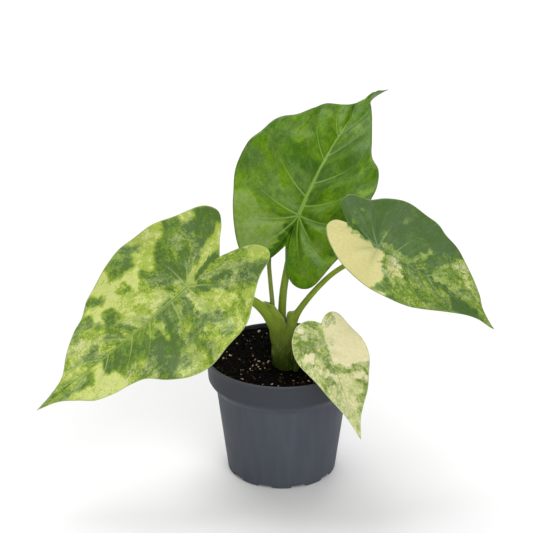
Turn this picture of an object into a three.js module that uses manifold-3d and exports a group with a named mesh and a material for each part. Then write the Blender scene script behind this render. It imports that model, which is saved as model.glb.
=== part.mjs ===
// A variegated giant taro in a 12 cm plastic nursery pot.
// Millimetres, +Z up. The pot's axis is Z, its foot stands on Z = 0 and its front faces -Y.
import * as THREE from 'three';
import { mergeVertices } from 'three/addons/utils/BufferGeometryUtils.js';
import Module from 'manifold-3d';

const wasm = await Module();
wasm.setup();

// Pot, by its outside
const RIM_RADIUS = 60;
const POT_HEIGHT = 97.6;
const BAND_HEIGHT = 18.6;        // the deep smooth band under the lip
const BAND_FOOT_RADIUS = 58.2;
const WALL_TOP_RADIUS = 51.8;    // the wall just under the band's step
const STEP_HEIGHT = 9.4;
const FOOT_RADIUS = 42.6;
const WALL = 1.3;
const LIP = 1.9;                 // how thick the rolled lip is
const FLOOR_UNDERSIDE = 3.0;     // the floor is raised inside the foot ring
const FLOOR_TOP = 4.5;
const FOOT_RING_WIDTH = 3.6;
const CENTRE_PAD_RADIUS = 9;
const FEET = 10;
const FOOT_NOTCH_WIDTH = 10.3;
const FOOT_NOTCH_HEIGHT = 2.5;
const DRAIN_HOLES = 6;
const DRAIN_HOLE_RADIUS = 3.5;
const DRAIN_CIRCLE_RADIUS = 24;
const POT_SEGMENTS = 60;         // a multiple of the feet, so that all feet are alike

// Soil
const SOIL_EDGE = 94.4;          // height of its surface at the wall
const SOIL_CENTRE = 90;
const SOIL_HEAP = 2.2;           // how much higher it lies against the stems
const SOIL_HEAP_REACH = 3;
const TRUNK = { x: 1.9, y: -8.5, radius: 9.2 };  // the bundle of stems where it leaves the soil
const SOIL_SEGMENTS = 36;
const SOIL_RINGS = 7;
const CLEARANCE = 0.3;           // kept between neighbours that touch

// Corm, the swollen stem in the soil that the leafstalks stand on
const CORM_TOP = 66;
const CORM_HEIGHT = 30;
const CORM_RADIUS = 13;

// Leaves
const BLADE = 0.9;               // blade thickness
const STALK_SIDES = 10;
const STALK_BASE = CORM_TOP + CLEARANCE;
const JOINT_DEPTH = 2.6;         // the blade thickens downward where the stalk joins it
const JOINT_REACH = 6;
const WAVE_FULL_AT = 50;         // how far across a blade its margin waves reach their height

const radians = THREE.MathUtils.degToRad;

// An oriented closed geometry as a solid, and back
function solid(geometry) {
  const bare = geometry.index ? geometry.toNonIndexed() : geometry.clone();
  bare.deleteAttribute('normal');
  bare.deleteAttribute('uv');
  const merged = mergeVertices(bare, 1e-4);
  const mesh = new wasm.Mesh({
    numProp: 3,
    vertProperties: new Float32Array(merged.attributes.position.array),
    triVerts: new Uint32Array(merged.index.array),
  });
  mesh.merge();
  return new wasm.Manifold(mesh);
}

function geometryOf(manifold) {
  const mesh = manifold.getMesh();
  const geometry = new THREE.BufferGeometry();
  geometry.setAttribute('position', new THREE.BufferAttribute(new Float32Array(mesh.vertProperties), 3));
  geometry.setIndex(new THREE.BufferAttribute(new Uint32Array(mesh.triVerts), 1));
  geometry.computeVertexNormals();
  return geometry;
}

// A profile of [radius, height] pairs turned round the Z axis
function turned(profile, segments) {
  const points = profile.map(([radius, height]) => new THREE.Vector2(radius, height));
  const geometry = new THREE.LatheGeometry(points, segments);
  geometry.rotateX(Math.PI / 2);
  return geometry;
}

// Pot wall, as [radius, height] pairs from the foot up to the lip
const BAND_FOOT = POT_HEIGHT - BAND_HEIGHT;
const WALL_TOP = BAND_FOOT - STEP_HEIGHT;
const outerWall = [
  [FOOT_RADIUS - 1.0, 0],
  [FOOT_RADIUS, 1.2],
  [FOOT_RADIUS + 0.5, 3.5],
  [WALL_TOP_RADIUS, WALL_TOP],
  [WALL_TOP_RADIUS + 0.8, WALL_TOP + 3.4],
  [BAND_FOOT_RADIUS - 2.2, BAND_FOOT - 2.8],
  [BAND_FOOT_RADIUS - 0.5, BAND_FOOT - 1.2],
  [BAND_FOOT_RADIUS, BAND_FOOT],
  [RIM_RADIUS - 0.5, POT_HEIGHT - 1.8],
  [RIM_RADIUS, POT_HEIGHT - 0.9],
  [RIM_RADIUS - 0.4, POT_HEIGHT - 0.1],
  [RIM_RADIUS - 0.9, POT_HEIGHT],
];
const innerWall = [
  [RIM_RADIUS - LIP, POT_HEIGHT - 0.1],
  [RIM_RADIUS - LIP - 0.3, POT_HEIGHT - 1.2],
  [BAND_FOOT_RADIUS - WALL, BAND_FOOT],
  [WALL_TOP_RADIUS + 0.6 - WALL, WALL_TOP + 2.4],
  [WALL_TOP_RADIUS - WALL, WALL_TOP],
  [FOOT_RADIUS + 0.6 - WALL, FLOOR_TOP],
];

function pot() {
  const ringInner = FOOT_RADIUS - FOOT_RING_WIDTH;
  const underside = [
    [0, 0],
    [CENTRE_PAD_RADIUS, 0],
    [CENTRE_PAD_RADIUS, FLOOR_UNDERSIDE],
    [ringInner, FLOOR_UNDERSIDE],
    [ringInner + 0.4, 0],
  ];
  let body = solid(turned([...underside, ...outerWall, ...innerWall, [0, FLOOR_TOP]], POT_SEGMENTS));
  for (let i = 0; i < FEET; i++) {
    // A foot is centred at the front, so the notches lie half a step round from it
    const turn = -90 + (i + 0.5) * (360 / FEET);
    const notch = new THREE.BoxGeometry(3 * FOOT_RING_WIDTH, FOOT_NOTCH_WIDTH, 2 * FOOT_NOTCH_HEIGHT);
    notch.translate(FOOT_RADIUS, 0, 0);
    notch.rotateZ(radians(turn));
    body = body.subtract(solid(notch));
  }
  for (let i = 0; i < DRAIN_HOLES; i++) {
    const hole = new THREE.CylinderGeometry(DRAIN_HOLE_RADIUS, DRAIN_HOLE_RADIUS, 20, 16);
    hole.rotateX(Math.PI / 2);
    hole.translate(DRAIN_CIRCLE_RADIUS, 0, 0);
    hole.rotateZ(radians(30 + i * (360 / DRAIN_HOLES)));
    body = body.subtract(solid(hole));
  }
  return body;
}

// Lumps of the soil's surface, fading out at the wall
function soilRelief(x, y) {
  const fade = 1 - THREE.MathUtils.smoothstep(Math.hypot(x, y), 46, 56);
  const broad = 1.1 * Math.sin(x / 9.5 + 0.6) * Math.cos(y / 8.5 - 0.4);
  const fine = 0.7 * Math.sin(x / 5.1 - y / 6.3 + 1.9);
  const fromTrunk = Math.max(Math.hypot(x - TRUNK.x, y - TRUNK.y) - TRUNK.radius, 0);
  return fade * (broad + fine) + SOIL_HEAP * Math.exp(-fromTrunk / SOIL_HEAP_REACH);
}

function soil(holes) {
  const wallRadius = (height) => {
    // Radius of the pot's inside at a height, between the listed points
    for (let i = 1; i < innerWall.length; i++) {
      const [radius, low] = innerWall[i];
      const [upperRadius, high] = innerWall[i - 1];
      if (height >= low) return THREE.MathUtils.mapLinear(height, low, high, radius, upperRadius);
    }
    return innerWall.at(-1)[0];
  };
  const profile = [[0, FLOOR_TOP + CLEARANCE]];
  for (const height of [FLOOR_TOP + CLEARANCE, WALL_TOP, WALL_TOP + 2.4, BAND_FOOT]) {
    profile.push([wallRadius(height) - CLEARANCE, height]);
  }
  const edge = wallRadius(SOIL_EDGE) - CLEARANCE;
  for (let i = SOIL_RINGS; i >= 0; i--) {
    const share = i / SOIL_RINGS;
    const height = THREE.MathUtils.lerp(SOIL_CENTRE, SOIL_EDGE, share ** 2);
    profile.push([edge * share, height]);
  }
  const geometry = turned(profile, SOIL_SEGMENTS);
  const position = geometry.attributes.position;
  for (let i = 0; i < position.count; i++) {
    const z = position.getZ(i);
    if (z > BAND_FOOT + 1) position.setZ(i, z + soilRelief(position.getX(i), position.getY(i)));
  }
  let body = solid(geometry);
  for (const hole of holes) body = body.subtract(hole);
  return body;
}

function corm(extra = 0) {
  const profile = [[0, CORM_TOP - CORM_HEIGHT - extra]];
  const steps = 7;
  for (let i = 1; i < steps; i++) {
    const share = i / steps;
    const radius = CORM_RADIUS * Math.sin(Math.PI * (0.06 + 0.62 * share)) + extra;
    profile.push([radius, CORM_TOP - CORM_HEIGHT * (1 - share)]);
  }
  profile.push([CORM_RADIUS * 0.86 + extra, CORM_TOP + extra]);
  profile.push([0, CORM_TOP + extra]);
  return solid(turned(profile, 24));
}

// A round stalk along a smooth path. Each station is [x, y, z, radius]. Growth makes the
// same stalk thicker and longer, for the clearance that its neighbours leave to it.
function stalk(stations, growth = 0, stepsPerStation = 2) {
  const points = stations.map(([x, y, z]) => new THREE.Vector3(x, y, z));
  const last = points.length - 1;
  const firstStep = points[0].clone().sub(points[1]).normalize();
  points[0].addScaledVector(firstStep, growth);
  const lastStep = points[last].clone().sub(points[last - 1]).normalize();
  points[last].addScaledVector(lastStep, growth);
  const curve = new THREE.CatmullRomCurve3(points, false, 'centripetal');
  const rings = last * stepsPerStation;
  const vertices = [];
  const across = new THREE.Vector3(1, 0, 0);
  for (let i = 0; i <= rings; i++) {
    const t = i / rings;
    const centre = curve.getPoint(t);
    const forward = curve.getTangent(t);
    across.addScaledVector(forward, -across.dot(forward)).normalize();
    const side = forward.clone().cross(across);
    const index = Math.min(Math.floor(t * last), last - 1);
    const share = t * last - index;
    const radius = THREE.MathUtils.lerp(stations[index][3], stations[index + 1][3], share) + growth;
    for (let j = 0; j < STALK_SIDES; j++) {
      const turn = (2 * Math.PI * j) / STALK_SIDES;
      const vertex = centre.clone();
      vertex.addScaledVector(across, radius * Math.cos(turn));
      vertex.addScaledVector(side, radius * Math.sin(turn));
      vertices.push(vertex);
    }
  }
  return closedTube(vertices, STALK_SIDES);
}

// Rings of vertices joined into one closed tube with flat ends
function closedTube(vertices, sides) {
  const faces = [];
  const rings = vertices.length / sides - 1;
  for (let i = 0; i < rings; i++) {
    for (let j = 0; j < sides; j++) {
      const a = i * sides + j;
      const b = i * sides + ((j + 1) % sides);
      faces.push(a, b, a + sides, b, b + sides, a + sides);
    }
  }
  for (let j = 1; j < sides - 1; j++) {
    const end = rings * sides;
    faces.push(0, j + 1, j, end, end + j, end + j + 1);
  }
  return solid(indexed(vertices, faces));
}

function indexed(vertices, faces) {
  const geometry = new THREE.BufferGeometry().setFromPoints(vertices);
  geometry.setIndex(faces);
  return geometry;
}

// End point of an arc of a length that starts at an angle and turns by a rate
function arcEnd(length, rate, start = 0) {
  if (Math.abs(rate) < 1e-9) return [length * Math.cos(start), length * Math.sin(start)];
  const end = start + rate * length;
  return [(Math.sin(end) - Math.sin(start)) / rate, (Math.cos(start) - Math.cos(end)) / rate];
}

// The blade's middle surface, as a function of the flat leaf: along runs from the stalk's
// joint to the tip, across to the leaf's left. Angles are degrees, bends degrees per 100 mm.
function leafSurface(leaf) {
  const heading = radians(leaf.heading);
  const dip = radians(leaf.dip);
  const roll = radians(leaf.roll);
  const level = Math.cos(dip);
  const tipward = new THREE.Vector3(Math.cos(heading) * level, Math.sin(heading) * level, -Math.sin(dip));
  const left = new THREE.Vector3(-Math.sin(heading), Math.cos(heading), 0).applyAxisAngle(tipward, roll);
  const upward = tipward.clone().cross(left);
  const joint = new THREE.Vector3(...leaf.joint);
  return (along, across) => {
    const bend = radians(along > 0 ? leaf.droop : leaf.lobeDroop) / 100;
    const [reach, drop] = arcEnd(along, bend);
    const [out, rise] = arcEnd(Math.abs(across), radians(leaf.cup) / 100, radians(leaf.fold));
    const phase = radians(across > 0 ? leaf.wave.leftPhase : leaf.wave.rightPhase);
    const waveTurn = (2 * Math.PI * along) / leaf.wave.length + phase;
    const lift = rise + leaf.wave.height * (across / WAVE_FULL_AT) ** 2 * Math.sin(waveTurn);
    const turn = bend * along;
    return joint.clone()
      .addScaledVector(tipward, reach + lift * Math.sin(turn))
      .addScaledVector(upward, lift * Math.cos(turn) - drop)
      .addScaledVector(left, Math.sign(across) * out);
  };
}

// The blade as spokes from the joint to the outline, with rings across them, alike on both faces
function blade(leaf, spokesEachSide, rings) {
  const surface = leafSurface(leaf);
  const half = (points) => {
    const curve = new THREE.SplineCurve(points.map(([along, across]) => new THREE.Vector2(along, across)));
    return curve.getPoints(spokesEachSide);
  };
  const outline = [...half(leaf.left), ...half(leaf.right).reverse().slice(1, -1)];
  const normalAt = (along, across) => {
    const step = 0.05;
    const forward = surface(along + step, across).sub(surface(along - step, across));
    const sideways = surface(along, across + step).sub(surface(along, across - step));
    return forward.cross(sideways).normalize();
  };
  const count = outline.length;
  const face = (offset) => {
    const vertices = [];
    for (let i = 0; i <= rings; i++) {
      for (const end of outline) {
        const along = (end.x * i) / rings;
        const across = (end.y * i) / rings;
        const distance = Math.hypot(along, across);
        vertices.push(surface(along, across).addScaledVector(normalAt(along, across), offset(distance)));
        if (i === 0) break;
      }
    }
    return vertices;
  };
  const top = face(() => BLADE / 2);
  const bottom = face((distance) => -BLADE / 2 - JOINT_DEPTH * Math.exp(-((distance / JOINT_REACH) ** 2)));
  const vertices = [...top, ...bottom];
  const faces = [];
  const under = top.length;
  const at = (ring, spoke) => 1 + (ring - 1) * count + (spoke % count);
  for (let j = 0; j < count; j++) {
    faces.push(0, at(1, j + 1), at(1, j));
    faces.push(under, under + at(1, j), under + at(1, j + 1));
    for (let i = 1; i < rings; i++) {
      const [a, b, c, d] = [at(i, j), at(i, j + 1), at(i + 1, j), at(i + 1, j + 1)];
      faces.push(a, b, c, b, d, c);
      faces.push(under + a, under + c, under + b, under + b, under + c, under + d);
    }
    const [a, b] = [at(rings, j), at(rings, j + 1)];
    faces.push(a, b, under + a, b, under + b, under + a);
  }
  return solid(indexed(vertices, faces));
}

// Where the stalk ends, under the blade's joint
function underJoint(leaf, depth) {
  const surface = leafSurface(leaf);
  const forward = surface(0.1, 0).sub(surface(-0.1, 0));
  const sideways = surface(0, 0.1).sub(surface(0, -0.1));
  const normal = forward.cross(sideways).normalize();
  return surface(0, 0).addScaledVector(normal, -depth).toArray();
}

// The leaves. Each outline half runs from the notch between the lobes round to the tip, as
// [along, across]. Each stalk station is [x, y, z, radius], from the corm up to the blade.
const leaves = {
  leaf_left: {
    joint: [-72.3, -35, 169.8],
    heading: 199.4, dip: 38.3, roll: -37,
    droop: -9.8, lobeDroop: -15.6, fold: 4.3, cup: 1.4,
    wave: { height: 3, length: 48, leftPhase: 40, rightPhase: 200 },
    left: [
      [-34, 0], [-50, 7], [-60, 14], [-65, 24], [-61, 31], [-48, 36], [-31, 47], [-12, 57], [12, 63],
      [32, 60.5], [46, 57], [57, 49], [68, 36], [80, 31], [93, 29], [107, 24], [118, 14], [130, 5], [146, 0],
    ],
    right: [
      [-34, 0], [-43, -10], [-52, -18], [-57, -27], [-52, -38], [-40, -46], [-25, -51], [-10, -56],
      [7, -61], [18, -61], [32, -56], [50, -52], [64, -46], [76, -36], [88, -31], [102, -22], [116, -9],
      [132, -3], [146, 0],
    ],
    stalk: [
      [-3.4, -8.6, 112, 5.0], [-4.2, -9, 122, 5.8], [-9.2, -10.5, 134, 5.3], [-15, -12.5, 142, 4.2],
      [-23, -15.5, 150, 3.4], [-34, -20, 158, 3.0], [-48, -25, 165, 2.7], [-62, -30, 168, 2.5],
    ],
  },
  leaf_middle: {
    joint: [13.2, 30, 202.7],
    heading: 57.6, dip: -45.9, roll: 14.9,
    droop: 31.2, lobeDroop: 7.8, fold: 21.8, cup: 17.5,
    wave: { height: 3.5, length: 52, leftPhase: 200, rightPhase: 20 },
    left: [
      [-27, 1], [-40, 8], [-48, 17], [-47, 28], [-42, 36], [-29, 45], [-6, 55], [12, 63], [29, 60.5],
      [43, 55.5], [58, 54], [67, 49], [77, 37], [91, 29], [106, 23], [117, 12], [128, 5], [150, 0],
      [180, -8],
    ],
    right: [
      [-27, 1], [-44, -7], [-54, -17], [-57, -28], [-54, -38], [-45, -45], [-32, -51], [-12, -59],
      [5, -63], [21, -63], [34, -60], [45, -55], [56, -43], [77, -33], [104, -21], [127, -11], [143, -5],
      [162, -5.5], [180, -8],
    ],
    stalk: [
      [0.5, -2, STALK_BASE, 3.4], [0.3, -4, 100, 3.3], [0, -6, 124, 3.2], [0, -5.5, 140, 3.1],
      [1.0, -3, 153.5, 3.0], [3.7, 4, 168, 2.8], [7.6, 16, 183.5, 2.6],
    ],
  },
  leaf_right: {
    joint: [71.4, -40, 204.2],
    heading: -10.8, dip: 26.9, roll: 37,
    droop: 19, lobeDroop: 0.2, fold: 15.9, cup: 8.8,
    wave: { height: 3, length: 46, leftPhase: 90, rightPhase: 250 },
    left: [
      [-29, 6], [-36, 12], [-41, 18], [-38, 26], [-30, 29], [-22, 31], [-12, 37], [5, 41], [24, 41], [32, 39],
      [40, 34.5], [54, 30.5], [69, 23], [85, 12.5], [94, 5], [110, -2.5],
    ],
    right: [
      [-29, 6], [-37, 4], [-41, 0], [-42, -6], [-39, -13], [-32, -22], [-18, -35], [-2, -40], [20, -43],
      [33, -40], [50, -30], [66, -20], [82, -10], [94, -5], [104, -4], [110, -2.5],
    ],
    stalk: [
      [1.9, -8.5, STALK_BASE, 9.2], [1.8, -8.6, 92, 9.2], [0.9, -8.7, 104, 9.5], [1.7, -8.8, 112, 8.9],
      [4.1, -9.1, 119, 6.9], [6.5, -9.5, 126, 4.7], [8.7, -10, 131, 3.5], [12.4, -11.2, 139, 2.6],
      [19.7, -15, 151.6, 2.4], [28.7, -20, 165, 2.2], [39, -26, 178, 2.1], [53, -33, 190.5, 2.0],
    ],
  },
  leaf_front_small: {
    joint: [31.7, -50, 131.2],
    heading: -61.7, dip: 43.8, roll: -1.7,
    droop: 4.3, lobeDroop: -0.5, fold: 9.1, cup: 7.3,
    wave: { height: 4, length: 34, leftPhase: 0, rightPhase: 120 },
    left: [
      [-15, 3], [-20, 8], [-22, 14], [-18, 20], [-4, 26], [6, 29], [21, 30], [34, 24], [46, 18], [56, 11],
      [66, 5], [80, 0],
    ],
    right: [
      [-15, 3], [-18, -2], [-19, -9], [-16, -19], [-9, -26], [-2, -31], [8, -32], [22, -27], [40, -17],
      [59, -7], [70, -3], [80, 0],
    ],
    stalk: [
      [9.8, -14.8, STALK_BASE, 2.6], [10.6, -16.2, 94, 2.5], [12, -20, 105, 2.1], [15.4, -26, 115, 1.9],
      [21, -34, 122.5, 1.7], [27, -43, 126.5, 1.6],
    ],
  },
  leaf_back_small: {
    joint: [0, 53, 187.5],
    heading: 88, dip: -8, roll: 4,
    droop: 24, lobeDroop: 8, fold: 12, cup: 8,
    wave: { height: 3, length: 36, leftPhase: 30, rightPhase: 200 },
    left: [
      [-13, 0], [-20, 6], [-22, 13], [-17, 20], [-5, 25], [9, 27], [24, 23], [38, 16], [50, 9], [60, 3],
      [70, 0],
    ],
    right: [
      [-13, 0], [-20, -6], [-23, -12], [-19, -19], [-6, -25], [8, -28], [23, -25], [37, -17], [50, -9],
      [60, -3], [70, 0],
    ],
    stalk: [
      [-5.5, -1, STALK_BASE, 2.0], [-6, -2, 92, 1.9], [-6.8, -5, 118, 1.8], [-7.4, -6, 140, 1.8],
      [-9.2, 3, 158, 1.7], [-10.2, 14, 168.4, 1.7], [-9.5, 23, 173.5, 1.6], [-6.5, 35, 178, 1.6],
      [-2.5, 47, 182, 1.6],
    ],
  },
};

// The left leaf's sheath: the wide base of its stalk, wrapped round two other stalks. Low down
// the base of the right leaf, the oldest, is wrapped round all of them.
const leftSheath = [
  [-1.6, -8, STALK_BASE, 4.6], [-1.6, -8.2, 92, 4.6], [-2.0, -8.4, 104, 5.2], [-2.7, -8.4, 115, 6.8],
  [-2.8, -8.1, 127, 7.9], [-3.6, -8.2, 138, 8.4], [-6.2, -9, 147, 8.2], [-9.5, -10, 156, 7.4],
];

// The right leaf's sheath ends in a small free tip beside the middle stalk
const rightSheathTip = [
  [6.2, -9, 116, 4.4], [6.2, -9.4, 127, 3.9], [6.6, -9.8, 134, 3.4], [7, -10, 142, 3.0],
];

// Planes where a sheath ends. The left one's open mouth slants down to the right, then runs
// steeply down beside the middle stalk; the right one's tip is rounded off.
const sheathEdges = {
  leaf_left: [
    { at: [-9, -13, 146.2], facing: [0.35, 0.3, 0.89] },
    { at: [-4, -15.8, 143.3], facing: [0.8, 0.25, 0.54] },
    { at: [2.1, -14.5, 132.4], facing: [0.95, 0.08, 0.3] },
  ],
  leaf_right: [
    { at: [6.8, -12, 139.8], facing: [0.15, 0, 0.99] },
    { at: [4, -12, 138], facing: [-0.75, 0, 0.66] },
    { at: [3.2, -12, 134.5], facing: [-0.97, 0, 0.24] },
  ],
};

function trimmed(body, edges, growth) {
  let rest = body;
  for (const { at, facing } of edges) {
    const normal = new THREE.Vector3(...facing).normalize();
    const offset = normal.dot(new THREE.Vector3(...at)) + growth;
    rest = rest.trimByPlane(normal.clone().negate().toArray(), -offset);
  }
  return rest;
}

function stalkStations(name) {
  const leaf = leaves[name];
  const endRadius = leaf.stalk.at(-1)[3];
  return [...leaf.stalk, [...underJoint(leaf, 1.7), endRadius * 0.9]];
}

// Everything of a leaf that its neighbours must stay clear of near the ground
function stalkBody(name, growth = 0) {
  let body = stalk(stalkStations(name), growth);
  const sheath = { leaf_left: leftSheath, leaf_right: rightSheathTip }[name];
  if (sheath) body = body.add(trimmed(stalk(sheath, growth), sheathEdges[name], growth));
  return body;
}

function leafSolid(name, spokesEachSide, rings, neighbours) {
  let stem = stalkBody(name);
  for (const other of neighbours) stem = stem.subtract(stalkBody(other, CLEARANCE));
  return stem.add(blade(leaves[name], spokesEachSide, rings));
}

const solids = {
  pot: pot(),
  corm: corm(),
  soil: soil([corm(CLEARANCE), ...Object.keys(leaves).map((name) => stalkBody(name, CLEARANCE))]),
  leaf_middle: leafSolid('leaf_middle', 24, 9, []),
  leaf_back_small: leafSolid('leaf_back_small', 16, 6, []),
  leaf_left: leafSolid('leaf_left', 24, 9, ['leaf_middle', 'leaf_back_small']),
  leaf_right: leafSolid('leaf_right', 22, 9, ['leaf_left', 'leaf_middle', 'leaf_back_small']),
  leaf_front_small: leafSolid('leaf_front_small', 18, 7, ['leaf_right', 'leaf_left']),
};

const looks = {
  pot: { color: 0x4a4d53, roughness: 0.55 },
  soil: { color: 0x2a221d, roughness: 0.95 },
  corm: { color: 0x6b4a30, roughness: 0.9 },
  leaf_left: { color: 0x8fae4a, roughness: 0.45 },
  leaf_middle: { color: 0x5f8a3c, roughness: 0.4 },
  leaf_right: { color: 0x4f6f58, roughness: 0.45 },
  leaf_front_small: { color: 0xa9b878, roughness: 0.5 },
  leaf_back_small: { color: 0x6f9447, roughness: 0.45 },
};

const group = new THREE.Group();
for (const [name, body] of Object.entries(solids)) {
  const material = new THREE.MeshStandardMaterial({ ...looks[name], metalness: 0 });
  const mesh = new THREE.Mesh(geometryOf(body), material);
  mesh.name = name;
  group.add(mesh);
}

export default group;
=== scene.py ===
"""A young variegated giant taro in a 12 cm nursery pot, dressed for its photograph.

Lengths are millimetres, turned into metres where a mesh is made. +Z is up and the front is -Y.
"""
import math

import bmesh
import bpy
import numpy as np
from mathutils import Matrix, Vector, kdtree, noise


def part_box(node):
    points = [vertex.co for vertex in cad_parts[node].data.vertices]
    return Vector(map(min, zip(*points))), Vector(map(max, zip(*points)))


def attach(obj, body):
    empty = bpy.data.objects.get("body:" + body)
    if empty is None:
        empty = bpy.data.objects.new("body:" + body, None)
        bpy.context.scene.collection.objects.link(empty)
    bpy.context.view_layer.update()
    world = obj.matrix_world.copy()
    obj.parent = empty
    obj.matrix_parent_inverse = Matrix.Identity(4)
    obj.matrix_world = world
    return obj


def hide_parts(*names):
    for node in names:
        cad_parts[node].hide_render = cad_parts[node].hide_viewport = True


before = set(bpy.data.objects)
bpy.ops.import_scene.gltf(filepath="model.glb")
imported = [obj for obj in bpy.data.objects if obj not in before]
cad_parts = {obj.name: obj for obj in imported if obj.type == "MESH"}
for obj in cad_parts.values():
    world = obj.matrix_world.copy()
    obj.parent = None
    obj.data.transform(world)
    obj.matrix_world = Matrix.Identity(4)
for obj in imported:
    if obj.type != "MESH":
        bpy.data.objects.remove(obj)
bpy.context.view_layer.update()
MM = 0.001


# The camera
# A long lens at table height looks a little down on the pot from straight in front, so the
# plant is nearly free of perspective. The whole plant fills most of a square frame.
CAMERA_DISTANCE = 1500
CAMERA_ELEVATION = math.radians(23)
CAMERA_TARGET = (-12.2, 0, 172)
LENS = 131.2
SENSOR_WIDTH = 36
VIEW_END = 20

camera_data = bpy.data.cameras.new("photo_camera")
camera_data.lens = LENS
camera_data.sensor_width = SENSOR_WIDTH
camera_data.clip_end = VIEW_END
camera = bpy.data.objects.new("photo_camera", camera_data)
bpy.context.scene.collection.objects.link(camera)
back = Vector((0, -math.cos(CAMERA_ELEVATION), math.sin(CAMERA_ELEVATION)))
camera.location = (Vector(CAMERA_TARGET) + back * CAMERA_DISTANCE) * MM
camera.rotation_euler = (math.pi / 2 - CAMERA_ELEVATION, 0, 0)
bpy.context.scene.camera = camera
bpy.context.scene.view_settings.view_transform = "Standard"


# The pot
# One injection-moulded pot of thin blue-grey plastic: a rolled lip, a deep smooth band, a
# tapered wall and a foot ring cut by notches, with drain holes in its raised floor.
def piece_from(name, vertices, faces):
    """A smooth-shaded mesh object. Vertices are in millimetres."""
    mesh = bpy.data.meshes.new(name)
    mesh.from_pydata([tuple(point) for point in np.asarray(vertices) * MM], [], faces)
    mesh.validate()
    mesh.shade_smooth()
    piece = bpy.data.objects.new(name, mesh)
    bpy.context.scene.collection.objects.link(piece)
    return piece


def turned(name, profile, segments, lift):
    """A closed profile of (radius, height) pairs, turned round the pot's axis. Lift sets heights."""
    turns = np.linspace(0, 2 * math.pi, segments, endpoint=False)
    rows = [(r * math.cos(t), r * math.sin(t), z) for t in turns for r, z in profile]
    vertices = np.array(rows)
    vertices[:, 2] = lift(np.repeat(turns, len(profile)), vertices[:, 2])
    count = len(profile)
    faces = []
    for i in range(segments):
        for j in range(count):
            this, following = i * count, ((i + 1) % segments) * count
            across = (j + 1) % count
            faces.append((this + j, following + j, following + across, this + across))
    piece = piece_from(name, vertices, faces)
    tidy(piece)
    return piece


MERGE_REACH = 0.002
SLIVER = 0.001


def tidy(piece):
    """Joins vertices that coincide and turns all faces outward."""
    work = bmesh.new()
    work.from_mesh(piece.data)
    bmesh.ops.remove_doubles(work, verts=work.verts, dist=MERGE_REACH * MM)
    bmesh.ops.dissolve_degenerate(work, edges=work.edges, dist=SLIVER * MM)
    bmesh.ops.recalc_face_normals(work, faces=work.faces)
    work.to_mesh(piece.data)
    work.free()
    piece.data.shade_smooth()


def arc_points(centre, radius, start, end, count):
    """Points on an arc, in degrees, of a profile."""
    turns = np.radians(np.linspace(start, end, count))
    return [(centre[0] + radius * math.cos(t), centre[1] + radius * math.sin(t)) for t in turns]


def eased(share):
    """A smooth step from 0 to 1."""
    return share ** 2 * (3 - 2 * share)


pot_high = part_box("pot")[1]
RIM_RADIUS = pot_high[0] / MM
POT_HEIGHT = pot_high[2] / MM
BAND_HEIGHT = 18.6
BAND_FOOT = POT_HEIGHT - BAND_HEIGHT
BAND_FOOT_RADIUS = 58.2
BAND_EDGE = 0.5
STEP_HEIGHT = 9.4
WALL_TOP = BAND_FOOT - STEP_HEIGHT
WALL_TOP_RADIUS = 51.8
FOOT_RADIUS = 43.1
WALL = 1.3
LIP_RADIUS = 0.95
FOOT_CORNER = 1.6
FLOOR_UNDERSIDE = 3.0
FLOOR_TOP = 4.5
FOOT_RING_WIDTH = 3.6
CENTRE_PAD_RADIUS = 9
FEET = 10
NOTCH_HEIGHT = 2.5
NOTCH_HALF_TURN = math.radians(7)
NOTCH_FLANK = math.radians(2.2)
DRAIN_HOLES = 6
DRAIN_HOLE_RADIUS = 3.5
DRAIN_CIRCLE_RADIUS = 24
FIRST_DRAIN_HOLE = 30
DRILL_LENGTH = 12
DRILL_MIDDLE = 4
POT_SEGMENTS = 360

outside = arc_points((FOOT_RADIUS - FOOT_CORNER, FOOT_CORNER), FOOT_CORNER, -90, -4, 9)
for share in np.linspace(0.06, 1, 16):
    radius = FOOT_RADIUS + (WALL_TOP_RADIUS - FOOT_RADIUS) * share
    outside.append((radius, FOOT_CORNER + (WALL_TOP - FOOT_CORNER) * share))
for share in np.linspace(0.08, 0.94, 14):
    radius = WALL_TOP_RADIUS + (BAND_FOOT_RADIUS - BAND_EDGE - WALL_TOP_RADIUS) * eased(share)
    outside.append((radius, WALL_TOP + (BAND_FOOT - WALL_TOP) * share))
outside += arc_points((BAND_FOOT_RADIUS - BAND_EDGE, BAND_FOOT + 0.3), BAND_EDGE, -70, 0, 5)
outside += [(BAND_FOOT_RADIUS + 0.5, BAND_FOOT + 7), (RIM_RADIUS - 0.7, POT_HEIGHT - 4)]
outside += arc_points((RIM_RADIUS - LIP_RADIUS, POT_HEIGHT - LIP_RADIUS), LIP_RADIUS, -30, 200, 16)
inside = [
    (RIM_RADIUS - 2 * LIP_RADIUS - 0.2, POT_HEIGHT - 4),
    (BAND_FOOT_RADIUS - WALL, BAND_FOOT),
    (WALL_TOP_RADIUS + 0.6 - WALL, WALL_TOP + 2.4),
    (WALL_TOP_RADIUS - WALL, WALL_TOP),
    (FOOT_RADIUS - WALL, FLOOR_TOP + 1),
    (FOOT_RADIUS - WALL - 1, FLOOR_TOP),
    (0.01, FLOOR_TOP),
]
ring_inside = FOOT_RADIUS - FOOT_RING_WIDTH
underside = [
    (0.01, 0),
    (CENTRE_PAD_RADIUS - 0.3, 0),
    (CENTRE_PAD_RADIUS, 0.3),
    (CENTRE_PAD_RADIUS, FLOOR_UNDERSIDE),
    (ring_inside - 0.4, FLOOR_UNDERSIDE),
    (ring_inside, FLOOR_UNDERSIDE - 0.4),
    (ring_inside + 0.4, 0.3),
    (ring_inside + 0.7, 0),
]


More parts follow.
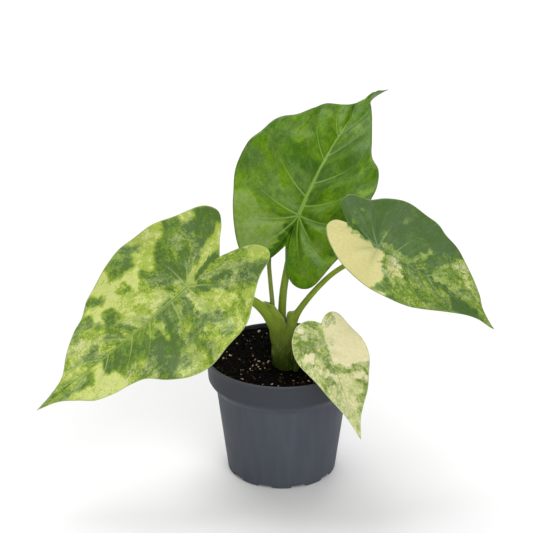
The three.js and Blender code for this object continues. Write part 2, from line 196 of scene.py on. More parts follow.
def notched_foot(turns, heights):
    """Raises the foot ring's edge between the feet. A foot is centred at the front."""
    step = 2 * math.pi / FEET
    from_notch = np.abs((turns + math.pi / 2) % step - step / 2)
    inside_notch = np.clip((NOTCH_HALF_TURN + NOTCH_FLANK - from_notch) / NOTCH_FLANK, 0, 1)
    lifted = np.maximum(heights, NOTCH_HEIGHT * eased(inside_notch) * 0.98 + heights * 0.02)
    return np.where(heights < NOTCH_HEIGHT, lifted, heights)


pot = turned("nursery_pot", underside + outside + inside, POT_SEGMENTS, notched_foot)
for vertex in pot.data.vertices:
    # The pad at the centre of the floor stands level with the feet
    if vertex.co.xy.length < (CENTRE_PAD_RADIUS - 0.2) * MM and vertex.co.z < NOTCH_HEIGHT * MM:
        vertex.co.z = 0
for hole in range(DRAIN_HOLES):
    turn = math.radians(FIRST_DRAIN_HOLE + hole * 360 / DRAIN_HOLES)
    radius, length = DRAIN_HOLE_RADIUS * MM, DRILL_LENGTH * MM
    bpy.ops.mesh.primitive_cylinder_add(vertices=48, radius=radius, depth=length)
    drill = bpy.context.object
    from_axis = DRAIN_CIRCLE_RADIUS * MM
    drill.location = (from_axis * math.cos(turn), from_axis * math.sin(turn), DRILL_MIDDLE * MM)
    cut = pot.modifiers.new("drain_hole", "BOOLEAN")
    cut.object = drill
    cut.operation = "DIFFERENCE"
    bpy.context.view_layer.objects.active = pot
    bpy.ops.object.modifier_apply(modifier=cut.name)
    bpy.data.objects.remove(drill)
pot.data.set_sharp_from_angle(angle=math.radians(45))


def paint(red, green, blue):
    """A screen colour, 0 to 255, as the linear colour that a shader takes."""
    screen = np.array([red, green, blue]) / 255
    linear = np.where(screen > 0.04045, ((screen + 0.055) / 1.055) ** 2.4, screen / 12.92)
    return (*linear, 1)


def finish_named(name, roughness):
    """A material, its node tree and its Principled shader."""
    material = bpy.data.materials.new(name)
    material.use_nodes = True
    tree = material.node_tree
    shader = tree.nodes["Principled BSDF"]
    shader.inputs["Roughness"].default_value = roughness
    return material, tree, shader


def add(tree, kind, **settings):
    """Adds a shader node. Settings name its own options; sockets are set by their names."""
    node = tree.nodes.new("ShaderNode" + kind)
    for key, value in settings.items():
        if hasattr(node, key):
            setattr(node, key, value)
        else:
            node.inputs[key.replace("_", " ")].default_value = value
    return node


def maths(tree, operation, first, second, clamp=False):
    """A Math node on two sockets or numbers."""
    node = tree.nodes.new("ShaderNodeMath")
    node.operation = operation
    node.use_clamp = clamp
    for socket, value in zip(node.inputs, (first, second)):
        if isinstance(value, (int, float)):
            socket.default_value = value
        else:
            tree.links.new(value, socket)
    return node.outputs[0]


def ranged(tree, value, low, high, to_low=0.0, to_high=1.0):
    """A smooth step of a socket from low to high."""
    node = tree.nodes.new("ShaderNodeMapRange")
    node.interpolation_type = "SMOOTHSTEP"
    tree.links.new(value, node.inputs["Value"])
    for name, number in (("From Min", low), ("From Max", high), ("To Min", to_low), ("To Max", to_high)):
        node.inputs[name].default_value = number
    return node.outputs["Result"]


def blended(tree, mask, first, second):
    """A colour mix by a mask. Each colour is a socket or a value."""
    node = tree.nodes.new("ShaderNodeMix")
    node.data_type = "RGBA"
    tree.links.new(mask, node.inputs["Factor"])
    for socket, value in ((node.inputs[6], first), (node.inputs[7], second)):
        if isinstance(value, tuple):
            socket.default_value = value
        else:
            tree.links.new(value, socket)
    return node.outputs[2]


def parts_of(tree, vector):
    """The three numbers in a vector socket."""
    node = add(tree, "SeparateXYZ")
    tree.links.new(vector, node.inputs[0])
    return node.outputs


def stretched(tree, vector, scale):
    """A vector socket scaled along each axis."""
    node = add(tree, "Mapping", Scale=scale)
    tree.links.new(vector, node.inputs["Vector"])
    return node.outputs[0]


def noise_of(tree, vector, scale, detail=3.0, roughness=0.55, distortion=0.0):
    """Values of a noise texture over a vector socket."""
    node = add(tree, "TexNoise", Scale=scale, Detail=detail, Roughness=roughness, Distortion=distortion)
    tree.links.new(vector, node.inputs["Vector"])
    return node.outputs["Fac"]


def raised(tree, height, shader, strength, depth):
    """Feeds a height to the shader as a bump. Depth is in millimetres."""
    node = add(tree, "Bump", Strength=strength, Distance=depth * MM)
    tree.links.new(height, node.inputs["Height"])
    tree.links.new(node.outputs["Normal"], shader.inputs["Normal"])


# The pot's plastic: dark blue-grey with a fine moulded grain and faint flow marks up the wall,
# dusted with dried splashes low down, with painted shade on the band and a painted highlight on the lip
plastic, tree, shader = finish_named("pot_plastic", 0.46)
place = add(tree, "TexCoord").outputs["Object"]
above_floor = parts_of(tree, place)[2]
flow = noise_of(tree, stretched(tree, place, (160, 160, 14)), 1.0, 3)
clouds = noise_of(tree, place, 45, 3)
grain = noise_of(tree, place, 2600, 2)
body = blended(tree, ranged(tree, flow, 0.3, 0.75), paint(73, 77, 85), paint(78, 82, 90))
body = blended(tree, ranged(tree, clouds, 0.5, 0.8, 0, 0.3), body, paint(84, 88, 96))
# Painted shade: the band under the rim is darker than the wall
band_shade = ranged(tree, above_floor, (BAND_FOOT - 4) * MM, (BAND_FOOT + 1) * MM)
body = blended(tree, band_shade, body, paint(62, 65, 71))
# Painted highlight: a paler line along the top of the lip
lip_height = (POT_HEIGHT - 1.6) * MM
lip_highlight = ranged(tree, above_floor, lip_height, POT_HEIGHT * MM, 0, 0.4)
body = blended(tree, lip_highlight, body, paint(98, 101, 106))
splash = ranged(tree, noise_of(tree, place, 700, 4, 0.7), 0.66, 0.74, 0, 0.5)
low_down = ranged(tree, above_floor, 0.045, 0.0)
body = blended(tree, maths(tree, "MULTIPLY", splash, low_down), body, paint(96, 95, 92))
tree.links.new(body, shader.inputs["Base Color"])
tree.links.new(ranged(tree, clouds, 0.3, 0.8, 0.46, 0.6), shader.inputs["Roughness"])
shader.inputs["Specular IOR Level"].default_value = 0.1
raised(tree, grain, shader, 0.3, 0.1)
pot.data.materials.append(plastic)
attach(pot, "root")
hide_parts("pot")


# The soil
# Near-black peat mix, pressed down round the stems and heaped a little against the wall. It
# holds white perlite grains, brown bark chips and loose crumbs, each a mesh of its own.
SOIL_EDGE = 94.4
SOIL_CENTRE = 90
SOIL_BOTTOM = FLOOR_TOP + 0.4
SOIL_RADIUS = 58.0
SOIL_HEAP = 2.2
SOIL_HEAP_REACH = 3
TRUNK_X, TRUNK_Y, TRUNK_RADIUS = 1.9, -8.5, 9.2
LUMPS_END, LUMPS_FADE = 46, 10
WIDE_LUMP, NARROW_LUMP = 1.1, 0.7
CLOD_HEIGHT, CLOD_SIZE = 1.5, 6
CRUMB_HEIGHT, CRUMB_SIZE = 1.0, 2.3
SOIL_RINGS = 110
SOIL_SEGMENTS = 330


def soil_height(x, y):
    """Height of the soil's surface: its dish, its lumps and its crumbs."""
    distance = math.hypot(x, y) / SOIL_RADIUS
    fade = 1 - min(max((distance * SOIL_RADIUS - LUMPS_END) / LUMPS_FADE, 0), 1)
    height = SOIL_CENTRE + (SOIL_EDGE - SOIL_CENTRE) * distance ** 2
    height += fade * WIDE_LUMP * math.sin(x / 9.5 + 0.6) * math.cos(y / 8.5 - 0.4)
    height += fade * NARROW_LUMP * math.sin(x / 5.1 - y / 6.3 + 1.9)
    height += CLOD_HEIGHT * noise.fractal(Vector((x / CLOD_SIZE, y / CLOD_SIZE, 3)), 1.0, 2.0, 3)
    from_trunk = max(math.hypot(x - TRUNK_X, y - TRUNK_Y) - TRUNK_RADIUS, 0)
    height += SOIL_HEAP * math.exp(-from_trunk / SOIL_HEAP_REACH)
    crumbs = noise.voronoi(Vector((x / CRUMB_SIZE, y / CRUMB_SIZE, 1.7)))[0][0]
    return height + CRUMB_HEIGHT * (0.5 - crumbs)


vertices = [(0, 0, soil_height(0, 0))]
for ring in range(1, SOIL_RINGS + 1):
    radius = SOIL_RADIUS * ring / SOIL_RINGS
    for turn in np.linspace(0, 2 * math.pi, SOIL_SEGMENTS, endpoint=False):
        x, y = radius * math.cos(turn), radius * math.sin(turn)
        vertices.append((x, y, soil_height(x, y)))
skirt_radius = WALL_TOP_RADIUS - WALL - 0.5
for radius, height in ((skirt_radius, WALL_TOP), (FOOT_RADIUS - WALL - 1.3, SOIL_BOTTOM)):
    for turn in np.linspace(0, 2 * math.pi, SOIL_SEGMENTS, endpoint=False):
        vertices.append((radius * math.cos(turn), radius * math.sin(turn), height))
rows = SOIL_RINGS + 2
faces = [(0, 1 + j, 1 + (j + 1) % SOIL_SEGMENTS) for j in range(SOIL_SEGMENTS)]
for i in range(rows - 1):
    for j in range(SOIL_SEGMENTS):
        a, b = 1 + i * SOIL_SEGMENTS + j, 1 + i * SOIL_SEGMENTS + (j + 1) % SOIL_SEGMENTS
        faces.append((a, a + SOIL_SEGMENTS, b + SOIL_SEGMENTS, b))
faces.append(tuple(1 + (rows - 1) * SOIL_SEGMENTS + j for j in range(SOIL_SEGMENTS)))
soil = piece_from("soil_surface", vertices, faces)
tidy(soil)


SCATTER_REACH = SOIL_RADIUS - 2.5
TRUNK_GAP = 0.6


def scattered(name, count, sizes, squash, rough, seed, sink):
    """Small angular grains lying on the soil, fused in one mesh. Sizes are their radii."""
    draw = np.random.default_rng(seed)
    ball = bmesh.new()
    bmesh.ops.create_icosphere(ball, subdivisions=1, radius=1)
    corners = np.array([vertex.co for vertex in ball.verts])
    triangles = [tuple(vertex.index for vertex in face.verts) for face in ball.faces]
    ball.free()
    vertices, faces = [], []
    placed = 0
    while placed < count:
        x, y = draw.uniform(-SCATTER_REACH, SCATTER_REACH, 2)
        in_trunk = math.hypot(x - TRUNK_X, y - TRUNK_Y) < TRUNK_RADIUS + TRUNK_GAP
        if math.hypot(x, y) > SCATTER_REACH or in_trunk:
            continue
        size = sizes[0] + (sizes[1] - sizes[0]) * draw.random() ** 2.2
        shape = corners * (1 + rough * draw.uniform(-1, 1, (len(corners), 1)))
        shape = shape * (1, draw.uniform(*squash), draw.uniform(*squash)) * size
        turn, lean = draw.uniform(0, 2 * math.pi), draw.uniform(-0.5, 0.5)
        spin = np.array([
            [math.cos(turn), -math.sin(turn), 0], [math.sin(turn), math.cos(turn), 0], [0, 0, 1],
        ])
        tip = np.array([
            [math.cos(lean), 0, math.sin(lean)], [0, 1, 0], [-math.sin(lean), 0, math.cos(lean)],
        ])
        shape = shape @ (spin @ tip).T
        base = len(vertices)
        vertices.extend(shape + (x, y, soil_height(x, y) + size * sink))
        faces.extend(tuple(base + corner for corner in triangle) for triangle in triangles)
        placed += 1
    grains = piece_from(name, vertices, faces)
    grains.data.shade_flat()
    return grains


crumbs = scattered("soil_crumbs", 1500, (0.5, 1.6), (0.6, 1.0), 0.25, 11, 0.15)
perlite = scattered("soil_perlite", 170, (0.3, 1.6), (0.5, 1.0), 0.35, 23, 0.25)
bark = scattered("soil_bark", 170, (0.9, 3.4), (0.25, 0.5), 0.25, 37, 0.2)


def soil_finish(name, dark, light, roughness, scale, depth):
    """A matte mineral or peat surface, mottled between two colours."""
    material, tree, shader = finish_named(name, roughness)
    place = add(tree, "TexCoord").outputs["Object"]
    mottle = noise_of(tree, place, scale, 4, 0.65)
    tree.links.new(blended(tree, ranged(tree, mottle, 0.35, 0.7), dark, light), shader.inputs["Base Color"])
    raised(tree, noise_of(tree, place, scale * 3, 4, 0.7), shader, 0.7, depth)
    shader.inputs["Specular IOR Level"].default_value = 0.06
    return material


soil_looks = (
    (soil, soil_finish("peat", paint(3, 3, 2), paint(11, 9, 6), 0.92, 260, 0.6)),
    (crumbs, soil_finish("peat_crumb", paint(4, 3, 2), paint(19, 14, 9), 0.9, 300, 0.4)),
    (perlite, soil_finish("perlite", paint(132, 112, 78), paint(216, 200, 170), 0.8, 420, 0.3)),
    (bark, soil_finish("bark_chip", paint(22, 15, 9), paint(66, 47, 26), 0.85, 400, 0.3)),
)
for piece, material in soil_looks:
    piece.data.materials.append(material)
    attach(piece, "root")
    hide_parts("soil")


# The corm
# The swollen stem that the leaves grow from, hidden in the soil. It keeps the CAD shape; its
# brown, corky skin is banded by its colour and a bump.
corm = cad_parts["corm"]
corm_skin, tree, shader = finish_named("corm_skin", 0.85)
place = add(tree, "TexCoord").outputs["Object"]
bands = noise_of(tree, stretched(tree, place, (60, 60, 900)), 1.0, 4, 0.6, 0.6)
skin = blended(tree, ranged(tree, bands, 0.35, 0.65), paint(74, 50, 32), paint(140, 104, 70))
tree.links.new(skin, shader.inputs["Base Color"])
raised(tree, bands, shader, 0.6, 0.5)
corm.data.materials.clear()
corm.data.materials.append(corm_skin)


# The leaf blades
# Five thin leathery sheets, arrow-shaped, with two lobes that point back past the stalk. Veins
# fan out from the joint and branch off the midrib, and the sheet swells a little between them.
# Pale tissue lies over the green in patches; on the middle leaf, some pale and dark marks are painted sheen
# and painted shade.
HALF_THICKNESS = 0.26
MARGIN_HALF_THICKNESS = 0.17
VEIN_BOW = 0.075
COLUMNS = 52
OFF_VEIN = (0, 0.02, 0.045, 0.075, 0.11, 0.15, 0.2, 0.26, 0.32, 0.38, 0.44)
MARK_EDGE = 3.5
UNMARKED = 0.00006
RAGGED = ((13, 3.0), (5, 1.8), (2, 1.0))
NOISE_SEED = 5
WAVE_FULL_AT = 50
VALLEY, LOBE_VALLEY = 2, 0.25
FAR = 9
VEINS_CLEAR = 1.6
FULL_SWELLING = 12
RIM_REACH = 3
BOSS_REACH = 4.5
UNDER_VEIN, UNDER_MIDRIB, UNDER_BOSS = 0.55, 1.3, 2.0
RIGHT_STREAM, STREAM_STEP = 300, 14

# Outline halves run from the notch between the lobes round to the tip, as (along, across) on
# the flattened leaf. A vein is (where it leaves the midrib, the margin point that it nears).
# A mark is (tone, radius, marbling, places), with tone from 0, deepest green, to 1, palest.
# Droop, lobe droop and cup are degrees in 100 mm. For the four leaves in the photo, the angles
# are results of a least-squares fit to it, and the outlines were laid flat by that fit and then
# reworked. The small back leaf is a guess.
leaves = {
    "leaf_left": dict(
        joint=(-72.3, -35, 169.8), heading=199.4, dip=38.3, roll=-37,
        droop=-9.8, lobe_droop=-15.6, fold=4.3, cup=1.4, wave=(3, 48, 40, 200),
        left=[
            (-34, 0), (-50, 7), (-60, 14), (-65, 24), (-61, 31), (-48, 36), (-31, 47), (-12, 57), (12, 63),
            (32, 60.5), (46, 57), (57, 49), (68, 36), (80, 31), (93, 29), (107, 24), (118, 14),
            (130, 5), (146, 0),
        ],
        right=[
            (-34, 0), (-43, -10), (-52, -18), (-57, -27), (-52, -38), (-40, -46), (-25, -51), (-10, -56),
            (7, -61), (18, -61), (32, -56), (50, -52), (64, -46), (76, -36), (88, -31), (102, -22),
            (116, -9), (132, -3), (146, 0),
        ],
        left_veins=[
            (0, (-62, 26)), (0, (-36, 44)), (0, (10, 63)), (16, (44, 58)), (38, (72, 34)), (55, (93, 29)),
            (78, (112, 19)), (102, (124, 9)),
        ],
        right_veins=[
            (0, (-55, -30)), (0, (-26, -51)), (0, (14, -61)), (12, (52, -51)), (39, (80, -34)),
            (60, (101, -23)), (84, (114, -11)), (106, (126, -5)),
        ],
        midrib=(1.25, -0.4, 2.2), vein=(0.55, -0.12),
        marks=[
            (0.05, 7, 0.45, [(-50, -27), (-45, -33), (-53, -22), (-40, -24), (-33, -20), (-38, -31)]),
            (0.85, 4.2, 0.35, [(-37, -10.5), (-30, -9.5), (-22, -8), (-14, -6), (-8, -4)]),
            (0.85, 5.5, 0.3, [(-50, -15.5), (-43, -13.5), (-36, -12)]),
            (0.0, 2.4, 0.1, [(-33, -2), (-28, -2.3), (-22, -2.2), (-16, -1.8), (-10, -1)]),
            (0.3, 7, 0.9, [(-26, -27), (-20, -33), (-9, -27), (-15, -14), (-30, -37)]),
            (0.12, 5, 0.5, [(-12, -20), (-3, -13), (3, -21), (2, -32), (-6, -37), (-16, -43), (-25, -41)]),
            (0.8, 5.5, 0.4, [(-12, -50), (-3, -52), (4, -58), (10, -59), (5, -46), (10, -37), (-35, -44)]),
            (0.2, 5, 0.7, [(12, -53), (17, -57), (22, -51), (28, -48), (22, -45), (35, -45), (-24, -49)]),
            (0.9, 5, 0.3, [(25, -34), (31, -32), (22, -40), (16, -45), (38, -40), (30, -37)]),
            (0.33, 5, 0.9, [(14, -22), (18, -29), (11, -13), (23, -23), (36, -33)]),
            (0.78, 5, 0.5, [(30, -17), (38, -21), (44, -17), (45, -26), (33, -10), (22, -9), (45, -9)]),
            (0.95, 6, 0.35, [(50, -45), (57, -46), (46, -37), (64, -33), (53, -33), (49, -50), (68, -25)]),
            (0.25, 4, 0.8, [(55, -26), (60, -23), (57, -38), (62, -41)]),
            (0.25, 3.6, 0.7, [(52, -4), (58, -9), (64, -15), (70, -22), (76, -29), (82, -32)]),
            (0.78, 5, 0.7, [(80, -21), (88, -18), (95, -21), (76, -13), (100, -11), (106, -5), (112, -9)]),
            (0.4, 5, 0.9, [(70, -6), (82, -6), (92, -6), (88, -27), (108, -13)]),
            (0.72, 5, 0.4, [(-60, 22), (-54, 18), (-62, 27)]),
            (0.12, 4, 0.7, [(-57, 30), (-49, 30), (-41, 24), (-27, 15), (-19, 12), (-10, 8)]),
            (0.35, 5, 1.1, [(-34, 33), (-33, 24), (-40, 34), (-24, 22)]),
            (0.5, 5, 0.9, [(-45, 13), (-37, 10), (-28, 8), (-18, 5), (-26, 26)]),
            (0.78, 5.5, 0.5, [(-15, 24), (-19, 31), (-11, 31), (-4, 24), (-3, 16), (-31, 41)]),
            (0.5, 6, 1.0, [(-20, 40), (-10, 46), (-15, 51), (0, 51), (-5, 38), (8, 41)]),
            (0.75, 5, 0.7, [(6, 56), (13, 58), (1, 45), (27, 52), (34, 56), (41, 55)]),
            (0.85, 1.2, 0.4, [(3, 6), (3, 10), (3.2, 14), (3.3, 18), (3.4, 22)]),
            (0.4, 3, 0.9, [(-2, 10), (9, 8), (8, 24)]),
            (0.25, 4.5, 0.7, [(9, 14), (12, 21), (10, 30), (18, 34), (20, 46), (21, 55)]),
            (0.1, 6.5, 0.75, [
                (35, 27), (41, 31), (45, 40), (46, 24), (43, 17), (51, 35), (33, 20), (56, 45),
            ]),
            (0.22, 5, 0.6, [(25, 11), (28, 5), (21, 4), (55, 20), (58, 12), (51, 7), (66, 16), (66, 5)]),
            (0.68, 3, 0.5, [(36, 15), (38, 21), (34, 9), (45, 10), (17, 9), (28, 41)]),
            (0.55, 5, 1.0, [(60, 29), (66, 26), (61, 37), (75, 25), (26, 27), (40, 48)]),
            (0.1, 4.8, 0.65, [(75, 11), (80, 7), (78, 16), (86, 10), (73, 5)]),
            (0.96, 6, 0.35, [(88, 24), (96, 25), (86, 18), (102, 21), (108, 19), (93, 12), (94, 5)]),
            (0.35, 4, 0.8, [(103, 9.5), (110, 8), (118, 5), (100, 4), (108, 4)]),
            (0.85, 4, 0.4, [(112, 14), (117, 10), (106, 15.5)]),
            (0.4, 6, 0.9, [(118, 2), (126, 0), (136, 0)]),
        ],
        palette=((82, 110, 48), (106, 135, 50), (132, 156, 62), (162, 181, 78), (198, 207, 124)),
        vein_tint=(160, 184, 96), vein_show=0.72, vein_reach=32, edge_tint=(160, 178, 100),
        base_tone=0.5, base_marbling=0.9, softness=0.05, sheen=0.5, pillow=0.9, gloss=0.2,
    ),
    "leaf_middle": dict(
        joint=(13.2, 30, 202.7), heading=57.6, dip=-45.9, roll=14.9,
        droop=31.2, lobe_droop=7.8, fold=21.8, cup=17.5, wave=(3.5, 52, 200, 20),
        left=[
            (-27, 1), (-40, 8), (-48, 17), (-47, 28), (-42, 36), (-29, 45), (-6, 55), (12, 63), (29, 60.5),
            (43, 55.5), (58, 54), (67, 49), (77, 37), (91, 29), (106, 23), (117, 12), (128, 5), (150, 0),
            (180, -8),
        ],
        right=[
            (-27, 1), (-44, -7), (-54, -17), (-57, -28), (-54, -38), (-45, -45), (-32, -51), (-12, -59),
            (5, -63), (21, -63), (34, -60), (45, -55), (56, -43), (77, -33), (104, -21), (127, -11),
            (143, -5), (162, -5.5), (180, -8),
        ],
        left_veins=[
            (0, (-45, 32)), (0, (-18, 49)), (0, (20, 62)), (16, (58, 53)), (52, (98, 26)), (80, (115, 13)),
            (108, (134, 4)),
        ],
        right_veins=[
            (0, (-56, -34)), (0, (-34, -50)), (0, (2, -63)), (8, (34, -60)), (29, (61, -42)),
            (57, (97, -24)), (84, (120, -14)), (110, (142, -6)),
        ],
        midrib=(2.0, 0.7, 4.2), vein=(0.8, 0.3),
        marks=[
            (0.6, 4.5, 0.5, [
                (60, 28), (66, 24), (95, 18), (98, 8), (90, 5), (24, -55), (88, -13), (-32, -46),
            ]),
            (0.4, 8, 0.5, [(75, 14), (40, 44), (105, -5), (66, 40), (112, 6), (44, -44), (84, 20)]),
            # Painted shade: darker green just below the veins, where the quilted sheet turns from the light
            (0.18, 7, 0.45, [(32, -14), (36, -8), (50, -26), (44, 8), (18, -8), (62, -6), (40, -34)]),
            # Painted sheen: greyish pale patches on the left lobe, in the palest green, stand in for
            # reflections
            (0.78, 9, 0.35, [(-34, 30), (-26, 18), (-28, 42), (-14, 30), (-10, 46), (-18, 14)]),
            # Painted sheen: pale greyish patches round the joint and on the right lobe stand in for
            # reflections
            (0.5, 9, 0.45, [
                (2, 30), (6, 14), (20, 24), (-22, -18), (-12, -28), (-30, -26), (6, -22), (8, 48),
            ]),
            # Painted shade: deep green along the left lobe's curled edge by the notch
            (0.0, 3, 0.1, [(-30, 8), (-22, 7), (-14, 4.5), (-38, 11)]),
            (0.3, 9, 0.45, [(78, -6), (110, -10), (122, -3), (44, 24), (60, -18), (96, 24), (24, 52)]),
            (0.42, 9, 0.4, [(-46, -26), (-40, -38), (28, 34), (135, -2), (58, 8)]),
        ],
        palette=((54, 92, 8), (72, 112, 10), (96, 134, 20), (118, 150, 44), (136, 162, 94)),
        vein_tint=(132, 166, 66), vein_show=0.8, vein_reach=56, edge_tint=(98, 108, 60),
        base_tone=0.3, base_marbling=0.45, softness=0.3, sheen=0.34, pillow=3.2, gloss=0.17,
    ),
    "leaf_right": dict(
        joint=(71.4, -40, 204.2), heading=-10.8, dip=26.9, roll=37,
        droop=19, lobe_droop=0.2, fold=15.9, cup=8.8, wave=(3, 46, 90, 250),
        left=[
            (-29, 6), (-36, 12), (-41, 18), (-38, 26), (-30, 29), (-22, 31), (-12, 37), (5, 41), (24, 41),
            (32, 39), (40, 34.5), (54, 30.5), (69, 23), (85, 12.5), (94, 5), (110, -2.5),
        ],
        right=[
            (-29, 6), (-37, 4), (-41, 0), (-42, -6), (-39, -13), (-32, -22), (-18, -35), (-2, -40),
            (20, -43), (33, -40), (50, -30), (66, -20), (82, -10), (94, -5), (104, -4), (110, -2.5),
        ],
        left_veins=[
            (0, (-39, 22)), (0, (-20, 32)), (0, (10, 41)), (12, (36, 38)), (24, (56, 30)), (42, (74, 21)),
            (62, (92, 9)),
        ],
        right_veins=[
            (0, (-41, -8)), (0, (-24, -30)), (0, (8, -42)), (10, (34, -40)), (25, (54, -28)),
            (43, (74, -15)), (63, (94, -5)),
        ],
        midrib=(0.9, -0.25, 2.6), vein=(0.45, -0.1),
        marks=[
            (1.1, 8, 0.04, [
                (-34, -5), (-28, -15), (-20, -6), (-15, -24), (-5, -15), (-8, -33), (2, -28), (-31, 2),
            ]),
            (1.1, 6, 0.04, [(-25, -23), (-20, -29)]),
            (1.1, 5, 0.1, [(4, -36), (5, -20), (1, -8), (6, -30), (-10, -4), (12, -43)]),
            (0.08, 3.4, 0.2, [(-31, 9.5), (-34, 12), (-38, 15)]),
            (0.08, 9, 0.3, [
                (-35, 20), (-25, 25), (-10, 31), (5, 24), (20, 32), (34, 28), (46, 27), (-8, 15),
            ]),
            (0.2, 5, 0.3, [(25, 11), (18, 14), (30, 19), (56, 28), (42, 10), (-20, 17), (8, 34)]),
            (0.34, 2.2, 0.6, [(8, 28), (-28, 18), (-25, 22), (0, 11)]),
            (0.0, 2.2, 0.2, [(-27, 6.8), (-21, 6), (-15, 5), (-9, 3.4), (-4, 1.6)]),
            (0.62, 1.7, 0.4, [(-27, 3.6), (-21, 3.1), (-15, 2.3), (-9, 1.3), (4, 3), (9, 4), (13, 3.4)]),
            (0.62, 2.6, 0.4, [(23, 4), (28, 7), (33, 11), (36, 16), (18, 2.5)]),
            (0.56, 6, 0.75, [(57, 21), (61, 15), (51, 11), (66, 10), (76, 9), (86, 5), (66, 22), (79, 14)]),
            (0.6, 3.6, 0.6, [(48, 5.5), (56, 6), (64, 5.5), (72, 5), (80, 4.5), (88, 3), (95, 1)]),
            (0.8, 2.6, 0.8, [(68, 18), (73, 15), (76, 12)]),
            (0.0, 1.5, 0.2, [(38, 0.8), (45, 0.9), (52, 1), (59, 1.1), (66, 1.1), (73, 1), (80, 0.8)]),
            (0.32, 5, 0.9, [(44, 15), (40, 6), (50, 22), (34, 4)]),
            (0.68, 4, 1.1, [(10, -7), (15, -4), (21, -8), (24, -14), (14, -19), (17, -13)]),
            (0.42, 7, 0.7, [
                (28, -25), (36, -30), (29, -35), (20, -33), (40, -20), (33, -11), (24, -22), (12, -36),
            ]),
            (0.48, 6, 0.7, [(45, -10), (52, -16), (58, -10), (46, -26), (56, -22), (66, -15)]),
            (0.05, 4, 0.3, [(70, -8), (76, -4), (81, -6), (89, -2.5)]),
            (0.55, 4, 0.6, [(95, 2), (103, 0)]),
        ],
        palette=((68, 98, 38), (82, 112, 48), (112, 138, 46), (154, 173, 92), (205, 198, 136)),
        vein_tint=(140, 168, 110), vein_show=0.5, vein_reach=26, edge_tint=(126, 148, 92),
        base_tone=0.2, base_marbling=0.3, softness=0.1, sheen=0.42, pillow=0.9, gloss=0.3,
    ),
    "leaf_front_small": dict(
        joint=(31.7, -50, 131.2), heading=-61.7, dip=43.8, roll=-1.7,
        droop=4.3, lobe_droop=-0.5, fold=9.1, cup=7.3, wave=(4, 34, 0, 120),
        left=[
            (-15, 3), (-20, 8), (-22, 14), (-18, 20), (-4, 26), (6, 29), (21, 30), (34, 24), (46, 18),
            (56, 11), (66, 5), (80, 0),
        ],
        right=[
            (-15, 3), (-18, -2), (-19, -9), (-16, -19), (-9, -26), (-2, -31), (8, -32), (22, -27),
            (40, -17), (59, -7), (70, -3), (80, 0),
        ],
        left_veins=[
            (0, (-21, 16)), (0, (-6, 25)), (0, (12, 30)), (9, (28, 27)), (20, (42, 20)), (34, (54, 13)),
            (50, (67, 5)),
        ],
        right_veins=[
            (0, (-18, -14)), (0, (-8, -27)), (0, (10, -32)), (9, (26, -25)), (20, (40, -17)),
            (34, (54, -9)), (50, (68, -3)),
        ],
        midrib=(0.8, -0.2, 2.6), vein=(0.4, -0.08),
        marks=[
            (1.1, 6, 0.03, [
                (-12, 17), (-5, 10), (0, 20), (8, 12), (8, 24), (14, 5), (16, 19), (-9, 21), (3, 5),
            ]),
            (1.1, 4, 0.03, [(19, 26), (19, 12), (-15, 17)]),
            (0.5, 3, 1.0, [(-20, 10), (-15, 12), (-14, 5), (3, 5)]),
            (0.42, 3, 1.1, [(26, 8), (27, 14), (26, 19), (28, 24), (33, 24), (24, 3)]),
            (0.15, 1.6, 0.7, [(27, 9), (25, 15), (30, 22), (43, 17)]),
            (0.95, 2.0, 0.3, [(33, 17), (33, 14), (38, 20)]),
            (0.25, 2.2, 0.8, [(36, 13), (40, 15), (38, 18), (45, 16), (50, 14)]),
            (0.7, 6, 0.75, [(45, 8), (55, 5), (60, 2), (50, 2), (66, 1), (40, 6), (34, 4), (31, 9)]),
            (0.4, 3, 0.7, [(60, 8), (70, 3), (52, 12)]),
            (0.3, 2.6, 0.9, [(-13, -1.5), (-7, -1.5), (-2, -2), (3, -2), (8, -2.5)]),
            (0.1, 2.6, 0.6, [(12, -4), (16, -4), (20, -4.5), (24, -3)]),
            (0.2, 1.5, 0.6, [(8, -1), (12, -1), (16, -1)]),
            (0.15, 2.4, 0.7, [(1, -9), (1, -14), (0, -20), (0, -25), (5, -13), (6, -19)]),
            (0.32, 5, 0.9, [(-15, -8), (-10, -13), (-5, -8), (8, -10), (3, -18), (2, -28), (-5, -23)]),
            (0.4, 5, 1.0, [(20, -12), (20, -19), (26, -19), (16, -27)]),
            (0.72, 2.2, 0.9, [(-12, -17), (-5, -17), (-8, -5), (7, -8)]),
            (0.95, 2.4, 0.3, [(11, -22), (13, -26), (12, -18)]),
            (0.8, 3, 0.6, [(23, -12), (26, -14), (25, -8), (30, -5)]),
            (0.15, 3, 0.8, [(32, -12), (33, -9), (34, -15)]),
            (0.56, 5, 0.85, [(38, -4), (45, -6), (41, -12), (51, -4), (28, -21), (60, -2)]),
        ],
        palette=((108, 132, 58), (142, 160, 84), (176, 186, 118), (202, 205, 147), (226, 218, 173)),
        vein_tint=(176, 190, 126), vein_show=0.35, vein_reach=14, edge_tint=(190, 198, 140),
        base_tone=0.5, base_marbling=0.9, softness=0.16, sheen=0.55, pillow=0.5, gloss=0.2,
    ),
    "leaf_back_small": dict(
        joint=(0, 53, 187.5), heading=88, dip=-8, roll=4,
        droop=24, lobe_droop=8, fold=12, cup=8, wave=(3, 36, 30, 200),
        left=[
            (-13, 0), (-20, 6), (-22, 13), (-17, 20), (-5, 25), (9, 27), (24, 23), (38, 16), (50, 9),
            (60, 3), (70, 0),
        ],
        right=[
            (-13, 0), (-20, -6), (-23, -12), (-19, -19), (-6, -25), (8, -28), (23, -25), (37, -17),
            (50, -9), (60, -3), (70, 0),
        ],
        left_veins=[
            (0, (-21, 16)), (0, (-8, 24)), (0, (9, 27)), (9, (26, 22)), (20, (38, 16)), (34, (52, 8)),
        ],
        right_veins=[
